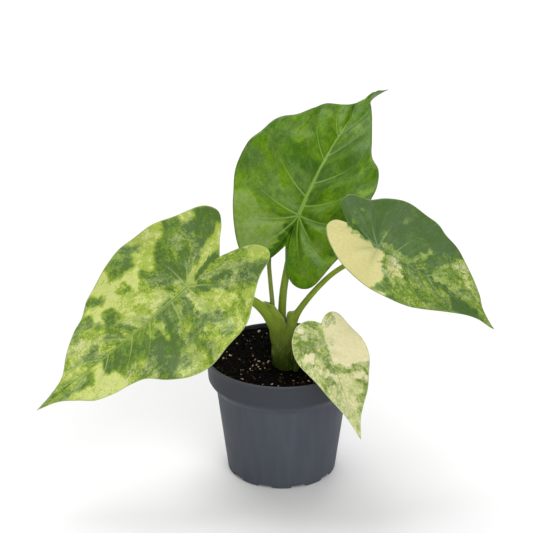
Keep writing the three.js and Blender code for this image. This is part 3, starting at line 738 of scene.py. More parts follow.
            (0, (-21, -16)), (0, (-8, -24)), (0, (9, -28)), (9, (26, -24)), (20, (39, -16)), (34, (52, -8)),
        ],
        midrib=(0.8, 0.2, 2.6), vein=(0.4, 0.1),
        marks=[
            (0.85, 7, 0.7, [(20, 12), (8, -16), (-12, 12)]),
            (0.15, 8, 0.6, [(30, -8), (0, 16), (44, 4), (-10, -12)]),
        ],
        palette=((62, 96, 30), (80, 116, 28), (104, 136, 36), (136, 160, 56), (180, 192, 100)),
        vein_tint=(150, 180, 94), vein_show=0.6, vein_reach=24, edge_tint=(130, 150, 84),
        base_tone=0.4, base_marbling=0.8, softness=0.12, sheen=0.45, pillow=0.6, gloss=0.3,
    ),
}


def cubic_between(start, end, slope, end_slope, share):
    """A point, or points, on the cubic from start to end with these slopes."""
    cubic = 2 * start - 2 * end + slope + end_slope
    square = -3 * start + 3 * end - 2 * slope - end_slope
    return cubic * share ** 3 + square * share ** 2 + slope * share + start


def smooth_curve(points, steps=24):
    """A Catmull-Rom curve through flat points."""
    points = np.array(points, float)
    padded = np.vstack([points[:1], points, points[-1:]])
    share = np.linspace(0, 1, steps, endpoint=False)[:, None]
    spans = []
    for p0, p1, p2, p3 in zip(padded, padded[1:], padded[2:], padded[3:]):
        spans.append(cubic_between(p1, p2, (p2 - p0) / 2, (p3 - p1) / 2, share))
    return np.vstack([*spans, points[-1:]])


def arc_end(length, rate, start=0.0):
    """End point of an arc of a length that starts at an angle and turns by a rate."""
    rate = np.where(np.abs(rate) < 1e-9, 1e-9, rate)
    end = start + rate * length
    return (np.sin(end) - np.sin(start)) / rate, (np.cos(start) - np.cos(end)) / rate


def blade_surface(leaf):
    """The middle surface of a blade in space, as a function of flat leaf coordinates."""
    heading, dip, roll = np.radians([leaf["heading"], leaf["dip"], leaf["roll"]])
    level = np.array([-math.sin(heading), math.cos(heading), 0])
    tipward = np.array([math.cos(heading) * math.cos(dip), math.sin(heading) * math.cos(dip), -math.sin(dip)])
    left = level * math.cos(roll) + np.cross(tipward, level) * math.sin(roll)
    upward = np.cross(tipward, left)
    wave_height, wave_length, left_phase, right_phase = leaf["wave"]

    def place(along, across):
        bend = np.radians(np.where(along > 0, leaf["droop"], leaf["lobe_droop"])) / 100
        reach, drop = arc_end(along, bend)
        out, rise = arc_end(np.abs(across), np.radians(leaf["cup"]) / 100, np.radians(leaf["fold"]))
        valley = VALLEY + LOBE_VALLEY * np.clip(-along, 0, 30)
        rise = rise * np.abs(across) / (np.abs(across) + valley)
        phase = np.radians(np.where(across > 0, left_phase, right_phase))
        wave = wave_height * (across / WAVE_FULL_AT) ** 2 * np.sin(2 * math.pi * along / wave_length + phase)
        lift = rise + wave
        turn = bend * along
        spot = np.multiply.outer(reach + lift * np.sin(turn), tipward)
        spot += np.multiply.outer(lift * np.cos(turn) - drop, upward)
        return spot + np.multiply.outer(np.sign(across) * out, left) + leaf["joint"]

    return place


def surface_normal(place, along, across, step=0.05):
    """Unit normals of a blade's surface, on its upper side."""
    forward = place(along + step, across) - place(along - step, across)
    sideways = place(along, across + step) - place(along, across - step)
    normal = np.cross(forward, sideways)
    return normal / np.linalg.norm(normal, axis=-1, keepdims=True)


def half_rows(leaf, side):
    """Outline of one half, and each of its veins as (start on the midrib, share of the outline)."""
    outline = smooth_curve(leaf[side])
    travelled = np.concatenate([[0], np.cumsum(np.linalg.norm(np.diff(outline, axis=0), axis=1))])
    share = travelled / travelled[-1]
    starts, ends = [0.0], [0.0]
    for start, target in leaf[side + "_veins"]:
        starts.append(start)
        ends.append(share[np.argmin(np.linalg.norm(outline - target, axis=1))])
    return outline, share, np.array(starts + [outline[-1][0]]), np.array(ends + [1.0])


def near_veins(first, last):
    """Row numbers from one vein to another, closer together beside each vein."""
    numbers = []
    for vein in range(first, last):
        numbers += [vein + gap for gap in OFF_VEIN] + [vein + 0.5]
        numbers += [vein + 1 - gap for gap in reversed(OFF_VEIN[1:])]
    return np.array(numbers + [last])


def ragged(along, across):
    """Leaf coordinates pushed about by layers of noise, which frays the outline of each mark."""
    pushed = np.stack([along, across], axis=-1)
    for spot in np.ndindex(along.shape):
        for size, push in RAGGED:
            sway = noise.noise_vector(Vector((along[spot] / size, across[spot] / size, size)))
            pushed[spot] += push * sway.x, push * sway.y
    return pushed[..., 0], pushed[..., 1]


def mark_field(leaf, along, across):
    """Tone and marbling at each point, where the nearest marks have most say."""
    weight = np.full(along.shape, UNMARKED)
    tone = weight * leaf["base_tone"]
    marble = weight * leaf["base_marbling"]
    for mark_tone, radius, marbling, places in leaf["marks"]:
        for x, y in places:
            reach = ((along - x) ** 2 + (across - y) ** 2) / radius ** 2
            near = np.exp(-MARK_EDGE * reach) / radius ** 2
            weight = weight + near
            tone = tone + near * mark_tone
            marble = marble + near * marbling
    return tone / weight, marble / weight


def blade(name, leaf):
    """A blade as one closed sheet, with its vein distances and marks kept as attributes."""
    place = blade_surface(leaf)
    tip = leaf["left"][-1]
    halves = {side: half_rows(leaf, side) for side in ("left", "right")}
    # Both halves share the same points on the midrib
    fan = {side: int(np.sum(starts == 0)) - 1 for side, (_, _, starts, _) in halves.items()}
    shared = []
    for side, (_, _, starts, _) in halves.items():
        numbers = near_veins(fan[side], len(starts) - 1)
        shared.append(np.interp(numbers, np.arange(len(starts)), starts))
    shared = np.unique(np.round(np.concatenate(shared), 2))
    shared = np.array([spot for spot in shared if spot > 0.05])

    vertices, faces = [], []
    fields = {"flat": [], "stream": [], "veins": [], "hue": []}
    column = np.linspace(0, 1, COLUMNS) ** 1.6
    for side, (outline, share, starts, ends) in halves.items():
        last = len(starts) - 1
        ahead = np.interp(shared, starts[fan[side]:], np.arange(fan[side], last + 1))
        rows = np.concatenate([near_veins(0, fan[side]), ahead])
        start = np.interp(rows, np.arange(last + 1), starts)
        spine = np.stack([start, tip[1] * (start / tip[0]) ** 3], axis=-1)
        end_share = np.interp(rows, np.arange(last + 1), ends)
        end = np.stack([np.interp(end_share, share, outline[:, k]) for k in (0, 1)], axis=-1)
        chord = end - spine
        length = np.linalg.norm(chord, axis=-1)
        bow = VEIN_BOW * np.minimum(rows, 1) * np.clip((last - rows) / 1.5, 0, 1)
        outward = 1 if side == "left" else -1
        baseward = np.stack([-chord[:, 1], chord[:, 0]], axis=-1) * outward
        middle = (spine + end) / 2 + 2 * bow[:, None] * baseward
        s = column[None, :, None]
        flat = (1 - s) ** 2 * spine[:, None] + 2 * s * (1 - s) * middle[:, None] + s ** 2 * end[:, None]
        along, across = flat[..., 0], flat[..., 1]

        s = column[None, :]
        number = rows[:, None]
        per_row = np.gradient(flat, rows, axis=0)
        spacing = np.linalg.norm(per_row, axis=-1)
        to_vein = np.abs(number - np.round(number)) * spacing
        unveined = (np.round(number) == 0) | (np.round(number) == last)
        to_vein = np.where(unveined, FAR, np.minimum(to_vein, FAR))
        to_midrib = s * length[:, None]
        to_edge = (1 - s) * length[:, None]
        spine_side = np.abs(across - tip[1] * np.clip(along / tip[0], 0, 1) ** 3)
        past_joint = np.minimum(np.hypot(along, across) + FAR * (number > 0), to_midrib)
        to_midrib = np.where(along < 0, past_joint, spine_side)

        clear_of_midrib = 1 - np.exp(-(to_midrib / VEINS_CLEAR) ** 2)
        fade = np.clip(spacing / FULL_SWELLING, 0, 1) * np.clip(length[:, None] / FULL_SWELLING, 0, 1)
        pillow = leaf["pillow"] * fade * np.sin(math.pi * number) ** 2 * np.sin(math.pi * s) ** 0.6
        vein_width, vein_height = leaf["vein"]
        midrib_width, midrib_height, midrib_taper = leaf["midrib"]
        vein_taper = 0.6 + 0.9 * (1 - s)
        vein_shape = np.exp(-(to_vein / (vein_width * vein_taper)) ** 2) * (1 - s) ** 0.5 * clear_of_midrib
        taper = np.clip(1 - along / tip[0], 0, 1) ** 0.5
        midrib_half = midrib_width * (0.15 + 0.6 * taper ** midrib_taper)
        midrib_shape = np.exp(-(to_midrib / midrib_half) ** 2) * taper ** 1.5 * (along >= 0)
        shoulder = np.exp(-((to_midrib - 1.7 * midrib_half) / midrib_half) ** 2) * taper * (along > 0)
        over = pillow + vein_height * vein_shape + midrib_height * midrib_shape
        over += 0.15 * shoulder * (midrib_height < 0)
        boss = np.exp(-(np.hypot(along, across) / BOSS_REACH) ** 2)
        keel = np.exp(-(to_midrib / (midrib_width + 0.3)) ** 2) * taper * (along >= 0)
        under = pillow - UNDER_VEIN * vein_shape - UNDER_MIDRIB * keel - UNDER_BOSS * boss
        rim = np.clip(to_edge / RIM_REACH, 0, 1) ** 0.5
        half = MARGIN_HALF_THICKNESS + (HALF_THICKNESS - MARGIN_HALF_THICKNESS) * rim

        tipward_fade = 2 * np.clip(along / tip[0], 0, 1) ** 3
        from_midrib = np.minimum(to_midrib / midrib_half, FAR) + tipward_fade
        middle_surface = place(along, across)
        normal = surface_normal(place, along, across)
        tone, marble = mark_field(leaf, *ragged(along, across))
        stream_start = RIGHT_STREAM if side == "right" else 0
        row_count = len(rows)
        base = len(vertices)
        for below in (False, True):
            lift = under - half if below else over + half
            spots = middle_surface + normal * lift[..., None]
            vertices.extend(spots.reshape(-1, 3))
            flag = np.full(along.shape, float(below))
            zero = np.zeros(along.shape)
            from_start = stream_start + STREAM_STEP * number + zero
            stream = np.stack([from_start, s * length[:, None], zero], axis=-1)
            for key, value in (
                ("flat", np.stack([along, across, zero], axis=-1)),
                ("stream", stream),
                ("veins", np.stack([to_vein / vein_taper, from_midrib, to_edge], axis=-1)),
                ("hue", np.stack([tone, marble, flag], axis=-1)),
            ):
                fields[key].extend(value.reshape(-1, 3))
        floor_start = base + row_count * COLUMNS
        for i in range(row_count - 1):
            for j in range(COLUMNS - 1):
                corner = i * COLUMNS + j
                quad = (corner, corner + COLUMNS, corner + COLUMNS + 1, corner + 1)
                faces.append(tuple(base + k for k in quad))
                faces.append(tuple(floor_start + k for k in reversed(quad)))
            rim_a, rim_b = (i + 1) * COLUMNS - 1, (i + 2) * COLUMNS - 1
            faces.append((base + rim_a, base + rim_b, floor_start + rim_b, floor_start + rim_a))
    piece = piece_from(name, vertices, faces)
    for key, values in fields.items():
        attribute = piece.data.attributes.new(key, "FLOAT_VECTOR", "POINT")
        attribute.data.foreach_set("vector", np.array(values).ravel())
    tidy(piece)
    return piece


# Unseeded, Blender takes a seed from the clock and the marks fray differently in each run
noise.seed_set(NOISE_SEED)
blades = {name: blade(name + "_blade", leaf) for name, leaf in leaves.items()}


def node_group(name, inputs, outputs):
    """A shader group, the sockets that it is given and the sockets of its result."""
    group = bpy.data.node_groups.new(name, "ShaderNodeTree")
    for label, kind in inputs:
        group.interface.new_socket(label, in_out="INPUT", socket_type="NodeSocket" + kind)
    for label, kind in outputs:
        group.interface.new_socket(label, in_out="OUTPUT", socket_type="NodeSocket" + kind)
    return group, group.nodes.new("NodeGroupInput").outputs, group.nodes.new("NodeGroupOutput").inputs


def cells_of(tree, vector, scale, output="Color", feature="F1"):
    """Values of a cell texture over a vector socket."""
    node = add(tree, "TexVoronoi", feature=feature, Scale=scale)
    tree.links.new(vector, node.inputs["Vector"])
    return node.outputs[output]


def swing(tree, value, amount):
    """A texture value from 0 to 1 turned into a swing either way of zero."""
    return maths(tree, "MULTIPLY", maths(tree, "SUBTRACT", value, 0.5), amount)


# Pale patches break up into smaller ones, as clones of cells do when a leaf grows: wedges and
# finer feathers that follow the veins, cells of two sizes with sharp sides, clouds and specks
variegation, given, result = node_group(
    "variegation",
    [
        ("Flat", "Vector"), ("Stream", "Vector"), ("Veins", "Vector"), ("Hue", "Vector"),
        ("Deep", "Color"), ("Green", "Color"), ("Fresh", "Color"), ("Lime", "Color"), ("Pale", "Color"),
        ("Vein Tint", "Color"), ("Edge Tint", "Color"), ("Vein Show", "Float"), ("Vein Reach", "Float"),
        ("Groove Shade", "Float"), ("Softness", "Float"), ("Sheen", "Float"),
    ],
    [("Color", "Color"), ("Roughness", "Float"), ("Height", "Float")],
)
tree = variegation
tone, marble, underside_mask = parts_of(tree, given["Hue"])
to_vein, from_midrib, to_edge = parts_of(tree, given["Veins"])


def swayed(tree, vector, scale, push):
    """A vector socket pushed about by noise."""
    wobble = add(tree, "TexNoise", Scale=scale, Detail=3)
    tree.links.new(vector, wobble.inputs["Vector"])
    moved = add(tree, "VectorMath", operation="MULTIPLY_ADD")
    tree.links.new(wobble.outputs["Color"], moved.inputs[0])
    moved.inputs[1].default_value = (push, push, 0)
    tree.links.new(vector, moved.inputs[2])
    return moved.outputs[0]


frayed = swayed(tree, given["Flat"], 0.45, 7)
frayed_stream = swayed(tree, given["Stream"], 0.3, 9)
wedge_red, wedge_green, _ = parts_of(tree, cells_of(tree, stretched(tree, frayed_stream, (0.2, 0.07, 1)), 1))
big_cell, _, _ = parts_of(tree, cells_of(tree, frayed, 0.3))
small_cell, _, _ = parts_of(tree, cells_of(tree, frayed, 0.75))
feathered = swayed(tree, given["Stream"], 0.5, 3)
feather, _, _ = parts_of(tree, cells_of(tree, stretched(tree, feathered, (0.75, 0.26, 1)), 1))
clouds = noise_of(tree, given["Flat"], 0.11, 2, 0.6, 0.8)
specks = noise_of(tree, given["Flat"], 0.7, 4, 0.72)
broken = swing(tree, wedge_red, 0.34)
for value, amount in (
    (big_cell, 0.26), (small_cell, 0.24), (feather, 0.36), (clouds, 0.75), (specks, 1.4)
):
    broken = maths(tree, "ADD", broken, swing(tree, value, amount))
value = maths(tree, "ADD", tone, maths(tree, "MULTIPLY", broken, marble))
colour = given["Deep"]
for threshold, label in ((0.17, "Green"), (0.38, "Fresh"), (0.6, "Lime"), (0.84, "Pale")):
    past = maths(tree, "DIVIDE", maths(tree, "SUBTRACT", value, threshold), given["Softness"])
    colour = blended(tree, maths(tree, "ADD", past, 0.5, clamp=True), colour, given[label])

# Some wedges are greyer, and all of the sheet is a little uneven in brightness
uneven = add(tree, "HueSaturation")
tree.links.new(colour, uneven.inputs["Color"])
greyness = maths(tree, "MULTIPLY", ranged(tree, wedge_green, 0.55, 0.7, 0, 0.2), marble)
tree.links.new(maths(tree, "SUBTRACT", 1.03, greyness), uneven.inputs["Saturation"])
brightness = ranged(tree, noise_of(tree, frayed, 0.45, 5, 0.75), 0.3, 0.7, 0.9, 1.08)
tree.links.new(brightness, uneven.inputs["Value"])
colour = uneven.outputs["Color"]

# The veins are pale lines with painted shade on their flanks, and fade on their way to the margin
fine_veins = noise_of(tree, stretched(tree, given["Stream"], (0.9, 0.03, 1)), 1.0, 2, 0.5)
colour = blended(tree, ranged(tree, fine_veins, 0.55, 0.75, 0, 0.1), colour, given["Vein Tint"])
from_spine = parts_of(tree, given["Stream"])[1]
vein_fade = maths(tree, "DIVIDE", from_spine, given["Vein Reach"])
vein_fade = maths(tree, "MULTIPLY", ranged(tree, vein_fade, 1.0, 0.1), ranged(tree, to_edge, 0.5, 8))
vein_fade = maths(tree, "MULTIPLY", vein_fade, given["Vein Show"])
# Painted shade: the flanks beside each vein are darkened towards the deepest green
flank_shade = maths(tree, "MULTIPLY", ranged(tree, to_vein, 3.6, 0.7, 0, 0.4), vein_fade)
colour = blended(tree, flank_shade, colour, given["Deep"])
vein_mask = maths(tree, "MULTIPLY", ranged(tree, to_vein, 0.7, 0.15), vein_fade)
midrib_mask = maths(tree, "MULTIPLY", ranged(tree, from_midrib, 1.7, 0.9), given["Vein Show"])
colour = blended(tree, maths(tree, "MAXIMUM", vein_mask, midrib_mask), colour, given["Vein Tint"])
# Painted shade: a sunken midrib gets a dark line down its groove
groove_shade = maths(tree, "MULTIPLY", ranged(tree, from_midrib, 0.75, 0.2), given["Groove Shade"])
colour = blended(tree, groove_shade, colour, given["Deep"])
colour = blended(tree, ranged(tree, to_edge, 0.75, 0.25, 0, 0.75), colour, given["Edge Tint"])

# The underside is paler and duller
dull = add(tree, "HueSaturation", Saturation=0.72, Value=1.12)
tree.links.new(colour, dull.inputs["Color"])
colour = blended(tree, underside_mask, colour, dull.outputs["Color"])
tree.links.new(colour, result["Color"])
patchy = ranged(tree, noise_of(tree, given["Flat"], 0.16, 3), 0.35, 0.7, -0.05, 0.08)
roughness = maths(tree, "ADD", given["Sheen"], patchy)
roughness = maths(tree, "ADD", roughness, maths(tree, "MULTIPLY", underside_mask, 0.2))
tree.links.new(roughness, result["Roughness"])
meshwork = ranged(tree, cells_of(tree, frayed, 0.75, "Distance", "DISTANCE_TO_EDGE"), 0, 0.2, 0, 0.5)
height = maths(tree, "ADD", meshwork, maths(tree, "MULTIPLY", fine_veins, 1.6))
tree.links.new(height, result["Height"])


def leaf_finish(name, leaf):
    """The finish of one blade, with its own greens."""
    material, tree, shader = finish_named(name, leaf["sheen"])
    node = add(tree, "Group")
    node.node_tree = variegation
    for label in ("Flat", "Stream", "Veins", "Hue"):
        attribute = add(tree, "Attribute", attribute_name=label.lower())
        tree.links.new(attribute.outputs["Vector"], node.inputs[label])
    for label, colour in zip(("Deep", "Green", "Fresh", "Lime", "Pale"), leaf["palette"]):
        node.inputs[label].default_value = paint(*colour)
    node.inputs["Vein Tint"].default_value = paint(*leaf["vein_tint"])
    node.inputs["Edge Tint"].default_value = paint(*leaf["edge_tint"])
    node.inputs["Vein Show"].default_value = leaf["vein_show"]
    node.inputs["Vein Reach"].default_value = leaf["vein_reach"]
    node.inputs["Groove Shade"].default_value = 0.7 if leaf["midrib"][1] < 0 else 0.0
    node.inputs["Softness"].default_value = leaf["softness"]
    node.inputs["Sheen"].default_value = leaf["sheen"]
    tree.links.new(node.outputs["Color"], shader.inputs["Base Color"])
    tree.links.new(node.outputs["Roughness"], shader.inputs["Roughness"])
    raised(tree, node.outputs["Height"], shader, 0.5, 0.14)
    shader.inputs["Specular IOR Level"].default_value = leaf["gloss"]
    return material


for name, piece in blades.items():
    piece.data.materials.append(leaf_finish(name + "_skin", leaves[name]))
    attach(piece, "root")
    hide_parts(name)


# The leafstalks
# Five juicy green stalks. The right one's base is outermost and ends in a small free tip; in it,
# the left one's base opens into a wide sheath round the middle and back stalks. The bases are
# solid, so an inner stalk runs through the outer ones.
STALK_BASE = 66.3
stalks = {
    "leaf_left": [
        (-3.4, -8.6, 112, 5.0), (-4.2, -9, 122, 5.8), (-9.2, -10.5, 134, 5.3), (-15, -12.5, 142, 4.2),
        (-23, -15.5, 150, 3.4), (-34, -20, 158, 3.0), (-48, -25, 165, 2.7), (-62, -30, 168, 2.5),
    ],
    "leaf_middle": [
        (0.5, -2, STALK_BASE, 3.4), (0.3, -4, 100, 3.3), (0, -6, 124, 3.2), (0, -5.5, 140, 3.1),
        (1.0, -3, 153.5, 3.0), (3.7, 4, 168, 2.8), (7.6, 16, 183.5, 2.6),
    ],
    "leaf_right": [
        (1.9, -8.5, STALK_BASE, 9.2), (1.8, -8.6, 92, 9.2), (0.9, -8.7, 104, 9.5), (1.7, -8.8, 112, 8.9),
        (4.1, -9.1, 119, 6.9), (6.5, -9.5, 126, 4.7), (8.7, -10, 131, 3.5), (12.4, -11.2, 139, 2.6),
        (19.7, -15, 151.6, 2.4), (28.7, -20, 165, 2.2), (39, -26, 178, 2.1), (53, -33, 190.5, 2.0),
    ],
    "leaf_front_small": [
        (9.8, -14.8, STALK_BASE, 2.6), (10.6, -16.2, 94, 2.5), (12, -20, 105, 2.1), (15.4, -26, 115, 1.9),
        (21, -34, 122.5, 1.7), (27, -43, 126.5, 1.6),
    ],
    "leaf_back_small": [
        (-5.5, -1, STALK_BASE, 2.0), (-6, -2, 92, 1.9), (-6.8, -5, 118, 1.8), (-7.4, -6, 140, 1.8),
        (-9.2, 3, 158, 1.7), (-10.2, 14, 168.4, 1.7), (-9.5, 23, 173.5, 1.6), (-6.5, 35, 178, 1.6),
        (-2.5, 47, 182, 1.6),
    ],
}
LEFT_SHEATH = [
    (-1.6, -8, STALK_BASE, 4.6), (-1.6, -8.2, 92, 4.6), (-2.0, -8.4, 104, 5.2), (-2.7, -8.4, 115, 6.8),
    (-2.8, -8.1, 127, 7.9), (-3.6, -8.2, 138, 8.4), (-6.2, -9, 147, 8.2), (-9.5, -10, 156, 7.4),
]
RIGHT_SHEATH_TIP = [(6.2, -9, 116, 4.4), (6.2, -9.4, 127, 3.9), (6.6, -9.8, 134, 3.4), (7, -10, 142, 3.0)]
# Where each sheath ends, as planes: (a point on it, the way it faces)
SHEATH_EDGES = {
    "leaf_left": [
        ((-9, -13, 146.2), (0.35, 0.3, 0.89)),
        ((-4, -15.8, 143.3), (0.8, 0.25, 0.54)),
        ((2.1, -14.5, 132.4), (0.95, 0.08, 0.3)),
    ],
    "leaf_right": [
        ((6.8, -12, 139.8), (0.15, 0, 0.99)),
        ((4, -12, 138), (-0.75, 0, 0.66)),
        ((3.2, -12, 134.5), (-0.97, 0, 0.24)),
    ],
}
SHEATH_WALL = 1.2
FUNNEL_FOOT_RADIUS = 2.0
SCOOP_RISE, SCOOP_WALL = 2, 0.6
JOINT_GAP = 2.0
END_TAPER = 0.8
VOXEL = 0.45
SMOOTHING_PASSES = 9
MEMBRANE_WIDTH = 1.2
MEMBRANE_STANDS_OFF = 0.4
STALK_SIDES = 40
RING_STEP = 1.0
GRAIN_DRIFT = 0.02


def stalk_path(stations):
    """Centres and radii close together along a smooth path through the stations."""
    points = np.array([station[:3] for station in stations], float)
    radii = np.array([station[3] for station in stations])
    padded = np.vstack([2 * points[0] - points[1], points, 2 * points[-1] - points[-2]])
    centres, sizes = [], []
    for k in range(len(points) - 1):
        p0, p1, p2, p3 = padded[k:k + 4]
        d0, d1, d2 = (np.linalg.norm(b - a) ** 0.5 for a, b in ((p0, p1), (p1, p2), (p2, p3)))
        slope = ((p1 - p0) / d0 - (p2 - p0) / (d0 + d1) + (p2 - p1) / d1) * d1
        next_slope = ((p2 - p1) / d1 - (p3 - p1) / (d1 + d2) + (p3 - p2) / d2) * d1
        steps = max(2, int(np.linalg.norm(p2 - p1) / RING_STEP))
        for share in np.linspace(0, 1, steps, endpoint=False):
            centres.append(cubic_between(p1, p2, slope, next_slope, share))
            sizes.append(radii[k] + (radii[k + 1] - radii[k]) * share)
    centres.append(points[-1])
    sizes.append(radii[-1])
    sizes = np.convolve(np.pad(sizes, 4, mode="edge"), np.ones(9) / 9, mode="valid")
    return np.array(centres), sizes


def directions(centres):
    """The unit direction of a path at each of its points."""
    forward = np.gradient(centres, axis=0)
    return forward / np.linalg.norm(forward, axis=1, keepdims=True)


def tube(name, stations):
    """A closed round tube along a path of stations."""
    centres, radii = stalk_path(stations)
    across = np.array([1.0, 0, 0])
    vertices, faces = [], []
    turns = np.linspace(0, 2 * math.pi, STALK_SIDES, endpoint=False)
    for centre, radius, ahead in zip(centres, radii, directions(centres)):
        across = across - ahead * across.dot(ahead)
        across /= np.linalg.norm(across)
        side = np.cross(ahead, across)
        for turn in turns:
            vertices.append(centre + radius * (across * math.cos(turn) + side * math.sin(turn)))
    for i in range(len(centres) - 1):
        for j in range(STALK_SIDES):
            a, b = i * STALK_SIDES + j, i * STALK_SIDES + (j + 1) % STALK_SIDES
            faces.append((a, b, b + STALK_SIDES, a + STALK_SIDES))
    faces.append(tuple(reversed(range(STALK_SIDES))))
    faces.append(tuple(range(len(vertices) - STALK_SIDES, len(vertices))))
    return piece_from(name, vertices, faces)


def under_joint(name):
    """Where a stalk ends, under its blade's joint."""
    place = blade_surface(leaves[name])
    zero = np.zeros(1)
    return (place(zero, zero) - JOINT_GAP * surface_normal(place, zero, zero))[0]


def stations_of(name):
    """A leaf's stalk, up to just under the blade."""
    end_radius = stalks[name][-1][3] * END_TAPER
    return stalks[name] + [(*under_joint(name), end_radius)]


def apply_all(piece):
    """Turns a piece's modifiers into its mesh."""
    bpy.context.view_layer.objects.active = piece
    for modifier in list(piece.modifiers):
        bpy.ops.object.modifier_apply(modifier=modifier.name)


def combined(piece, other, operation):
    """One solid changed by another, which goes away."""
    change = piece.modifiers.new("change", "BOOLEAN")
    change.object = other
    change.operation = operation
    apply_all(piece)
    bpy.data.objects.remove(other)


def grown_smooth(piece):
    """Melts a piece's joined tubes into one smooth body."""
    remesh = piece.modifiers.new("grown", "REMESH")
    remesh.mode = "VOXEL"
    remesh.voxel_size = VOXEL * MM
    smooth = piece.modifiers.new("smooth", "SMOOTH")
    smooth.factor = 0.5
    smooth.iterations = SMOOTHING_PASSES
    apply_all(piece)
    piece.data.shade_smooth()


def trimmed(piece, at, facing):
    """Cuts off what stands beyond a plane and closes the cut."""
    work = bmesh.new()
    work.from_mesh(piece.data)
    everything = work.verts[:] + work.edges[:] + work.faces[:]
    cut = bmesh.ops.bisect_plane(
        work, geom=everything, plane_co=Vector(at) * MM, plane_no=facing, clear_outer=True
    )
    rim = [item for item in cut["geom_cut"] if isinstance(item, bmesh.types.BMEdge)]
    bmesh.ops.contextual_create(work, geom=rim)
    bmesh.ops.recalc_face_normals(work, faces=work.faces)
    work.to_mesh(piece.data)
    work.free()


stalk_pieces = {}
for name in ("leaf_middle", "leaf_back_small", "leaf_front_small"):
    stalk_pieces[name] = tube(name + "_stalk", stations_of(name))

left_stalk = tube("leaf_left_stalk", LEFT_SHEATH)
for at, facing in SHEATH_EDGES["leaf_left"]:
    trimmed(left_stalk, at, facing)
funnel = [(x, y, z, r - SHEATH_WALL) for x, y, z, r in LEFT_SHEATH[3:]]
funnel[0] = (*funnel[0][:3], FUNNEL_FOOT_RADIUS)
combined(left_stalk, tube("funnel", funnel), "DIFFERENCE")
combined(left_stalk, tube("left_stalk", stations_of("leaf_left")), "UNION")
grown_smooth(left_stalk)
stalk_pieces["leaf_left"] = left_stalk

right_stalk = tube("leaf_right_stalk", RIGHT_SHEATH_TIP)
scoop = [(x, y + SHEATH_WALL, z + SCOOP_RISE, r - SCOOP_WALL) for x, y, z, r in RIGHT_SHEATH_TIP[1:]]
combined(right_stalk, tube("scoop", scoop), "DIFFERENCE")
for at, facing in SHEATH_EDGES["leaf_right"]:
    trimmed(right_stalk, at, facing)
combined(right_stalk, tube("right_stalk", stations_of("leaf_right")), "UNION")
grown_smooth(right_stalk)
stalk_pieces["leaf_right"] = right_stalk


def streaked(name, piece):
    """Keeps, for each vertex, its place round and along the stalk and how near a sheath's edge it is."""
    centres, radii = stalk_path((LEFT_SHEATH[:3] if name == "leaf_left" else []) + stations_of(name))
    forward = directions(centres)
    tree = kdtree.KDTree(len(centres))
    for k, centre in enumerate(centres):
        tree.insert(Vector(centre), k)
    tree.balance()
    grain, membrane = [], []
    for vertex in piece.data.vertices:
        spot = vertex.co / MM
        centre, k, distance = tree.find(spot)
        ahead = Vector(forward[k])
        past_centre = (spot - centre).dot(ahead)
        round_it = (spot - centre - ahead * past_centre).normalized()
        along = k * RING_STEP + past_centre
        grain.extend((round_it.x, round_it.y, round_it.z + along * GRAIN_DRIFT))
        near_edge = 0.0
        if name in SHEATH_EDGES and distance > radii[k] + MEMBRANE_STANDS_OFF:
            edges = SHEATH_EDGES[name]
            past = max(Vector(facing).normalized().dot(spot - Vector(at)) for at, facing in edges)
            near_edge = math.exp(-(min(past, 0) / MEMBRANE_WIDTH) ** 2)
        membrane.append(near_edge)
    attribute = piece.data.attributes.new("grain", "FLOAT_VECTOR", "POINT")
    attribute.data.foreach_set("vector", grain)
    attribute = piece.data.attributes.new("membrane", "FLOAT", "POINT")
    attribute.data.foreach_set("value", membrane)


# Fine lengthwise streaks, darker green low down by the soil, paler and yellower higher up. A
# sheath's free edge is thin, dry and greyish
stalk_skin, given, result = node_group(
    "stalk_streaks",
    [
        ("Grain", "Vector"), ("Place", "Vector"), ("Membrane", "Float"),
        ("Low", "Color"), ("High", "Color"), ("Pale", "Color"), ("Dry", "Color"),
    ],
    [("Color", "Color"), ("Roughness", "Float"), ("Height", "Float")],
)
tree = stalk_skin
streaks = noise_of(tree, given["Grain"], 9, 4, 0.6)
blotches = noise_of(tree, given["Place"], 90, 3)
height = parts_of(tree, given["Place"])[2]
colour = blended(tree, ranged(tree, height, 0.09, 0.148), given["Low"], given["High"])
colour = blended(tree, ranged(tree, streaks, 0.5, 0.75, 0, 0.35), colour, given["Pale"])
colour = blended(tree, ranged(tree, streaks, 0.48, 0.3, 0, 0.35), colour, given["Low"])
colour = blended(tree, ranged(tree, blotches, 0.55, 0.75, 0, 0.25), colour, given["Pale"])
colour = blended(tree, ranged(tree, given["Membrane"], 0.2, 0.9, 0, 0.5), colour, given["Dry"])
tree.links.new(colour, result["Color"])
tree.links.new(ranged(tree, blotches, 0.3, 0.7, 0.4, 0.54), result["Roughness"])
tree.links.new(streaks, result["Height"])

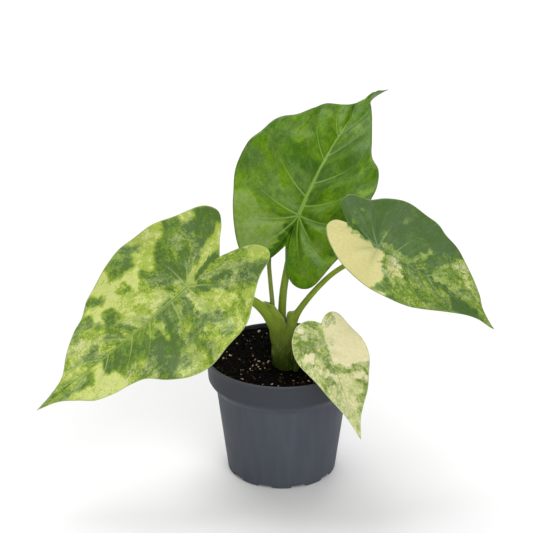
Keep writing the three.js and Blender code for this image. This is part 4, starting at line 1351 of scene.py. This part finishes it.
stalk_greens = {
    "leaf_left": ((46, 61, 9), (121, 143, 40), (158, 177, 82)),
    "leaf_middle": ((52, 72, 12), (109, 132, 38), (150, 169, 78)),
    "leaf_right": ((44, 61, 8), (122, 143, 40), (164, 179, 90)),
    "leaf_front_small": ((60, 84, 22), (112, 136, 46), (160, 172, 90)),
    "leaf_back_small": ((60, 80, 22), (114, 128, 50), (150, 162, 86)),
}
for name, piece in stalk_pieces.items():
    streaked(name, piece)
    material, tree, shader = finish_named(name + "_stalk_skin", 0.46)
    node = add(tree, "Group")
    node.node_tree = stalk_skin
    grain = add(tree, "Attribute", attribute_name="grain")
    tree.links.new(grain.outputs["Vector"], node.inputs["Grain"])
    membrane = add(tree, "Attribute", attribute_name="membrane")
    tree.links.new(membrane.outputs["Fac"], node.inputs["Membrane"])
    tree.links.new(add(tree, "TexCoord").outputs["Object"], node.inputs["Place"])
    for label, colour in zip(("Low", "High", "Pale"), stalk_greens[name]):
        node.inputs[label].default_value = paint(*colour)
    node.inputs["Dry"].default_value = paint(146, 148, 108)
    tree.links.new(node.outputs["Color"], shader.inputs["Base Color"])
    tree.links.new(node.outputs["Roughness"], shader.inputs["Roughness"])
    raised(tree, node.outputs["Height"], shader, 0.3, 0.15)
    shader.inputs["Specular IOR Level"].default_value = 0.16
    piece.data.materials.append(material)
    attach(piece, "root")
    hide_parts(name)


# The floor and the light
# A plain white floor under a white sky. Two wide sun lamps stand in for softboxes, one in front
# on the right and one above and a little behind.
FLOOR_HALF = 40000
FLOOR_WHITE = 0.92
SKY_STRENGTH = 0.42
corners = [(x * FLOOR_HALF, y * FLOOR_HALF, 0) for x, y in ((-1, -1), (1, -1), (1, 1), (-1, 1))]
floor = piece_from("floor", corners, [(0, 1, 2, 3)])
floor_paint, tree, shader = finish_named("floor_paint", 0.9)
shader.inputs["Base Color"].default_value = (FLOOR_WHITE, FLOOR_WHITE, FLOOR_WHITE, 1)
shader.inputs["Specular IOR Level"].default_value = 0
floor.data.materials.append(floor_paint)

world = bpy.data.worlds.new("white_room")
world.use_nodes = True
world.node_tree.nodes["Background"].inputs["Color"].default_value = (1, 1, 1, 1)
world.node_tree.nodes["Background"].inputs["Strength"].default_value = SKY_STRENGTH
bpy.context.scene.world = world

for name, strength, spread, travel in (
    ("front_softbox", 1.4, 50, (-0.3, 1, -0.62)),
    ("top_softbox", 1.9, 50, (0.1, -0.45, -1)),
):
    softbox = bpy.data.lights.new(name, "SUN")
    softbox.angle = math.radians(spread)
    softbox.energy = strength
    lamp = bpy.data.objects.new(name, softbox)
    bpy.context.scene.collection.objects.link(lamp)
    lamp.rotation_euler = Vector(travel).to_track_quat("-Z", "Y").to_euler()
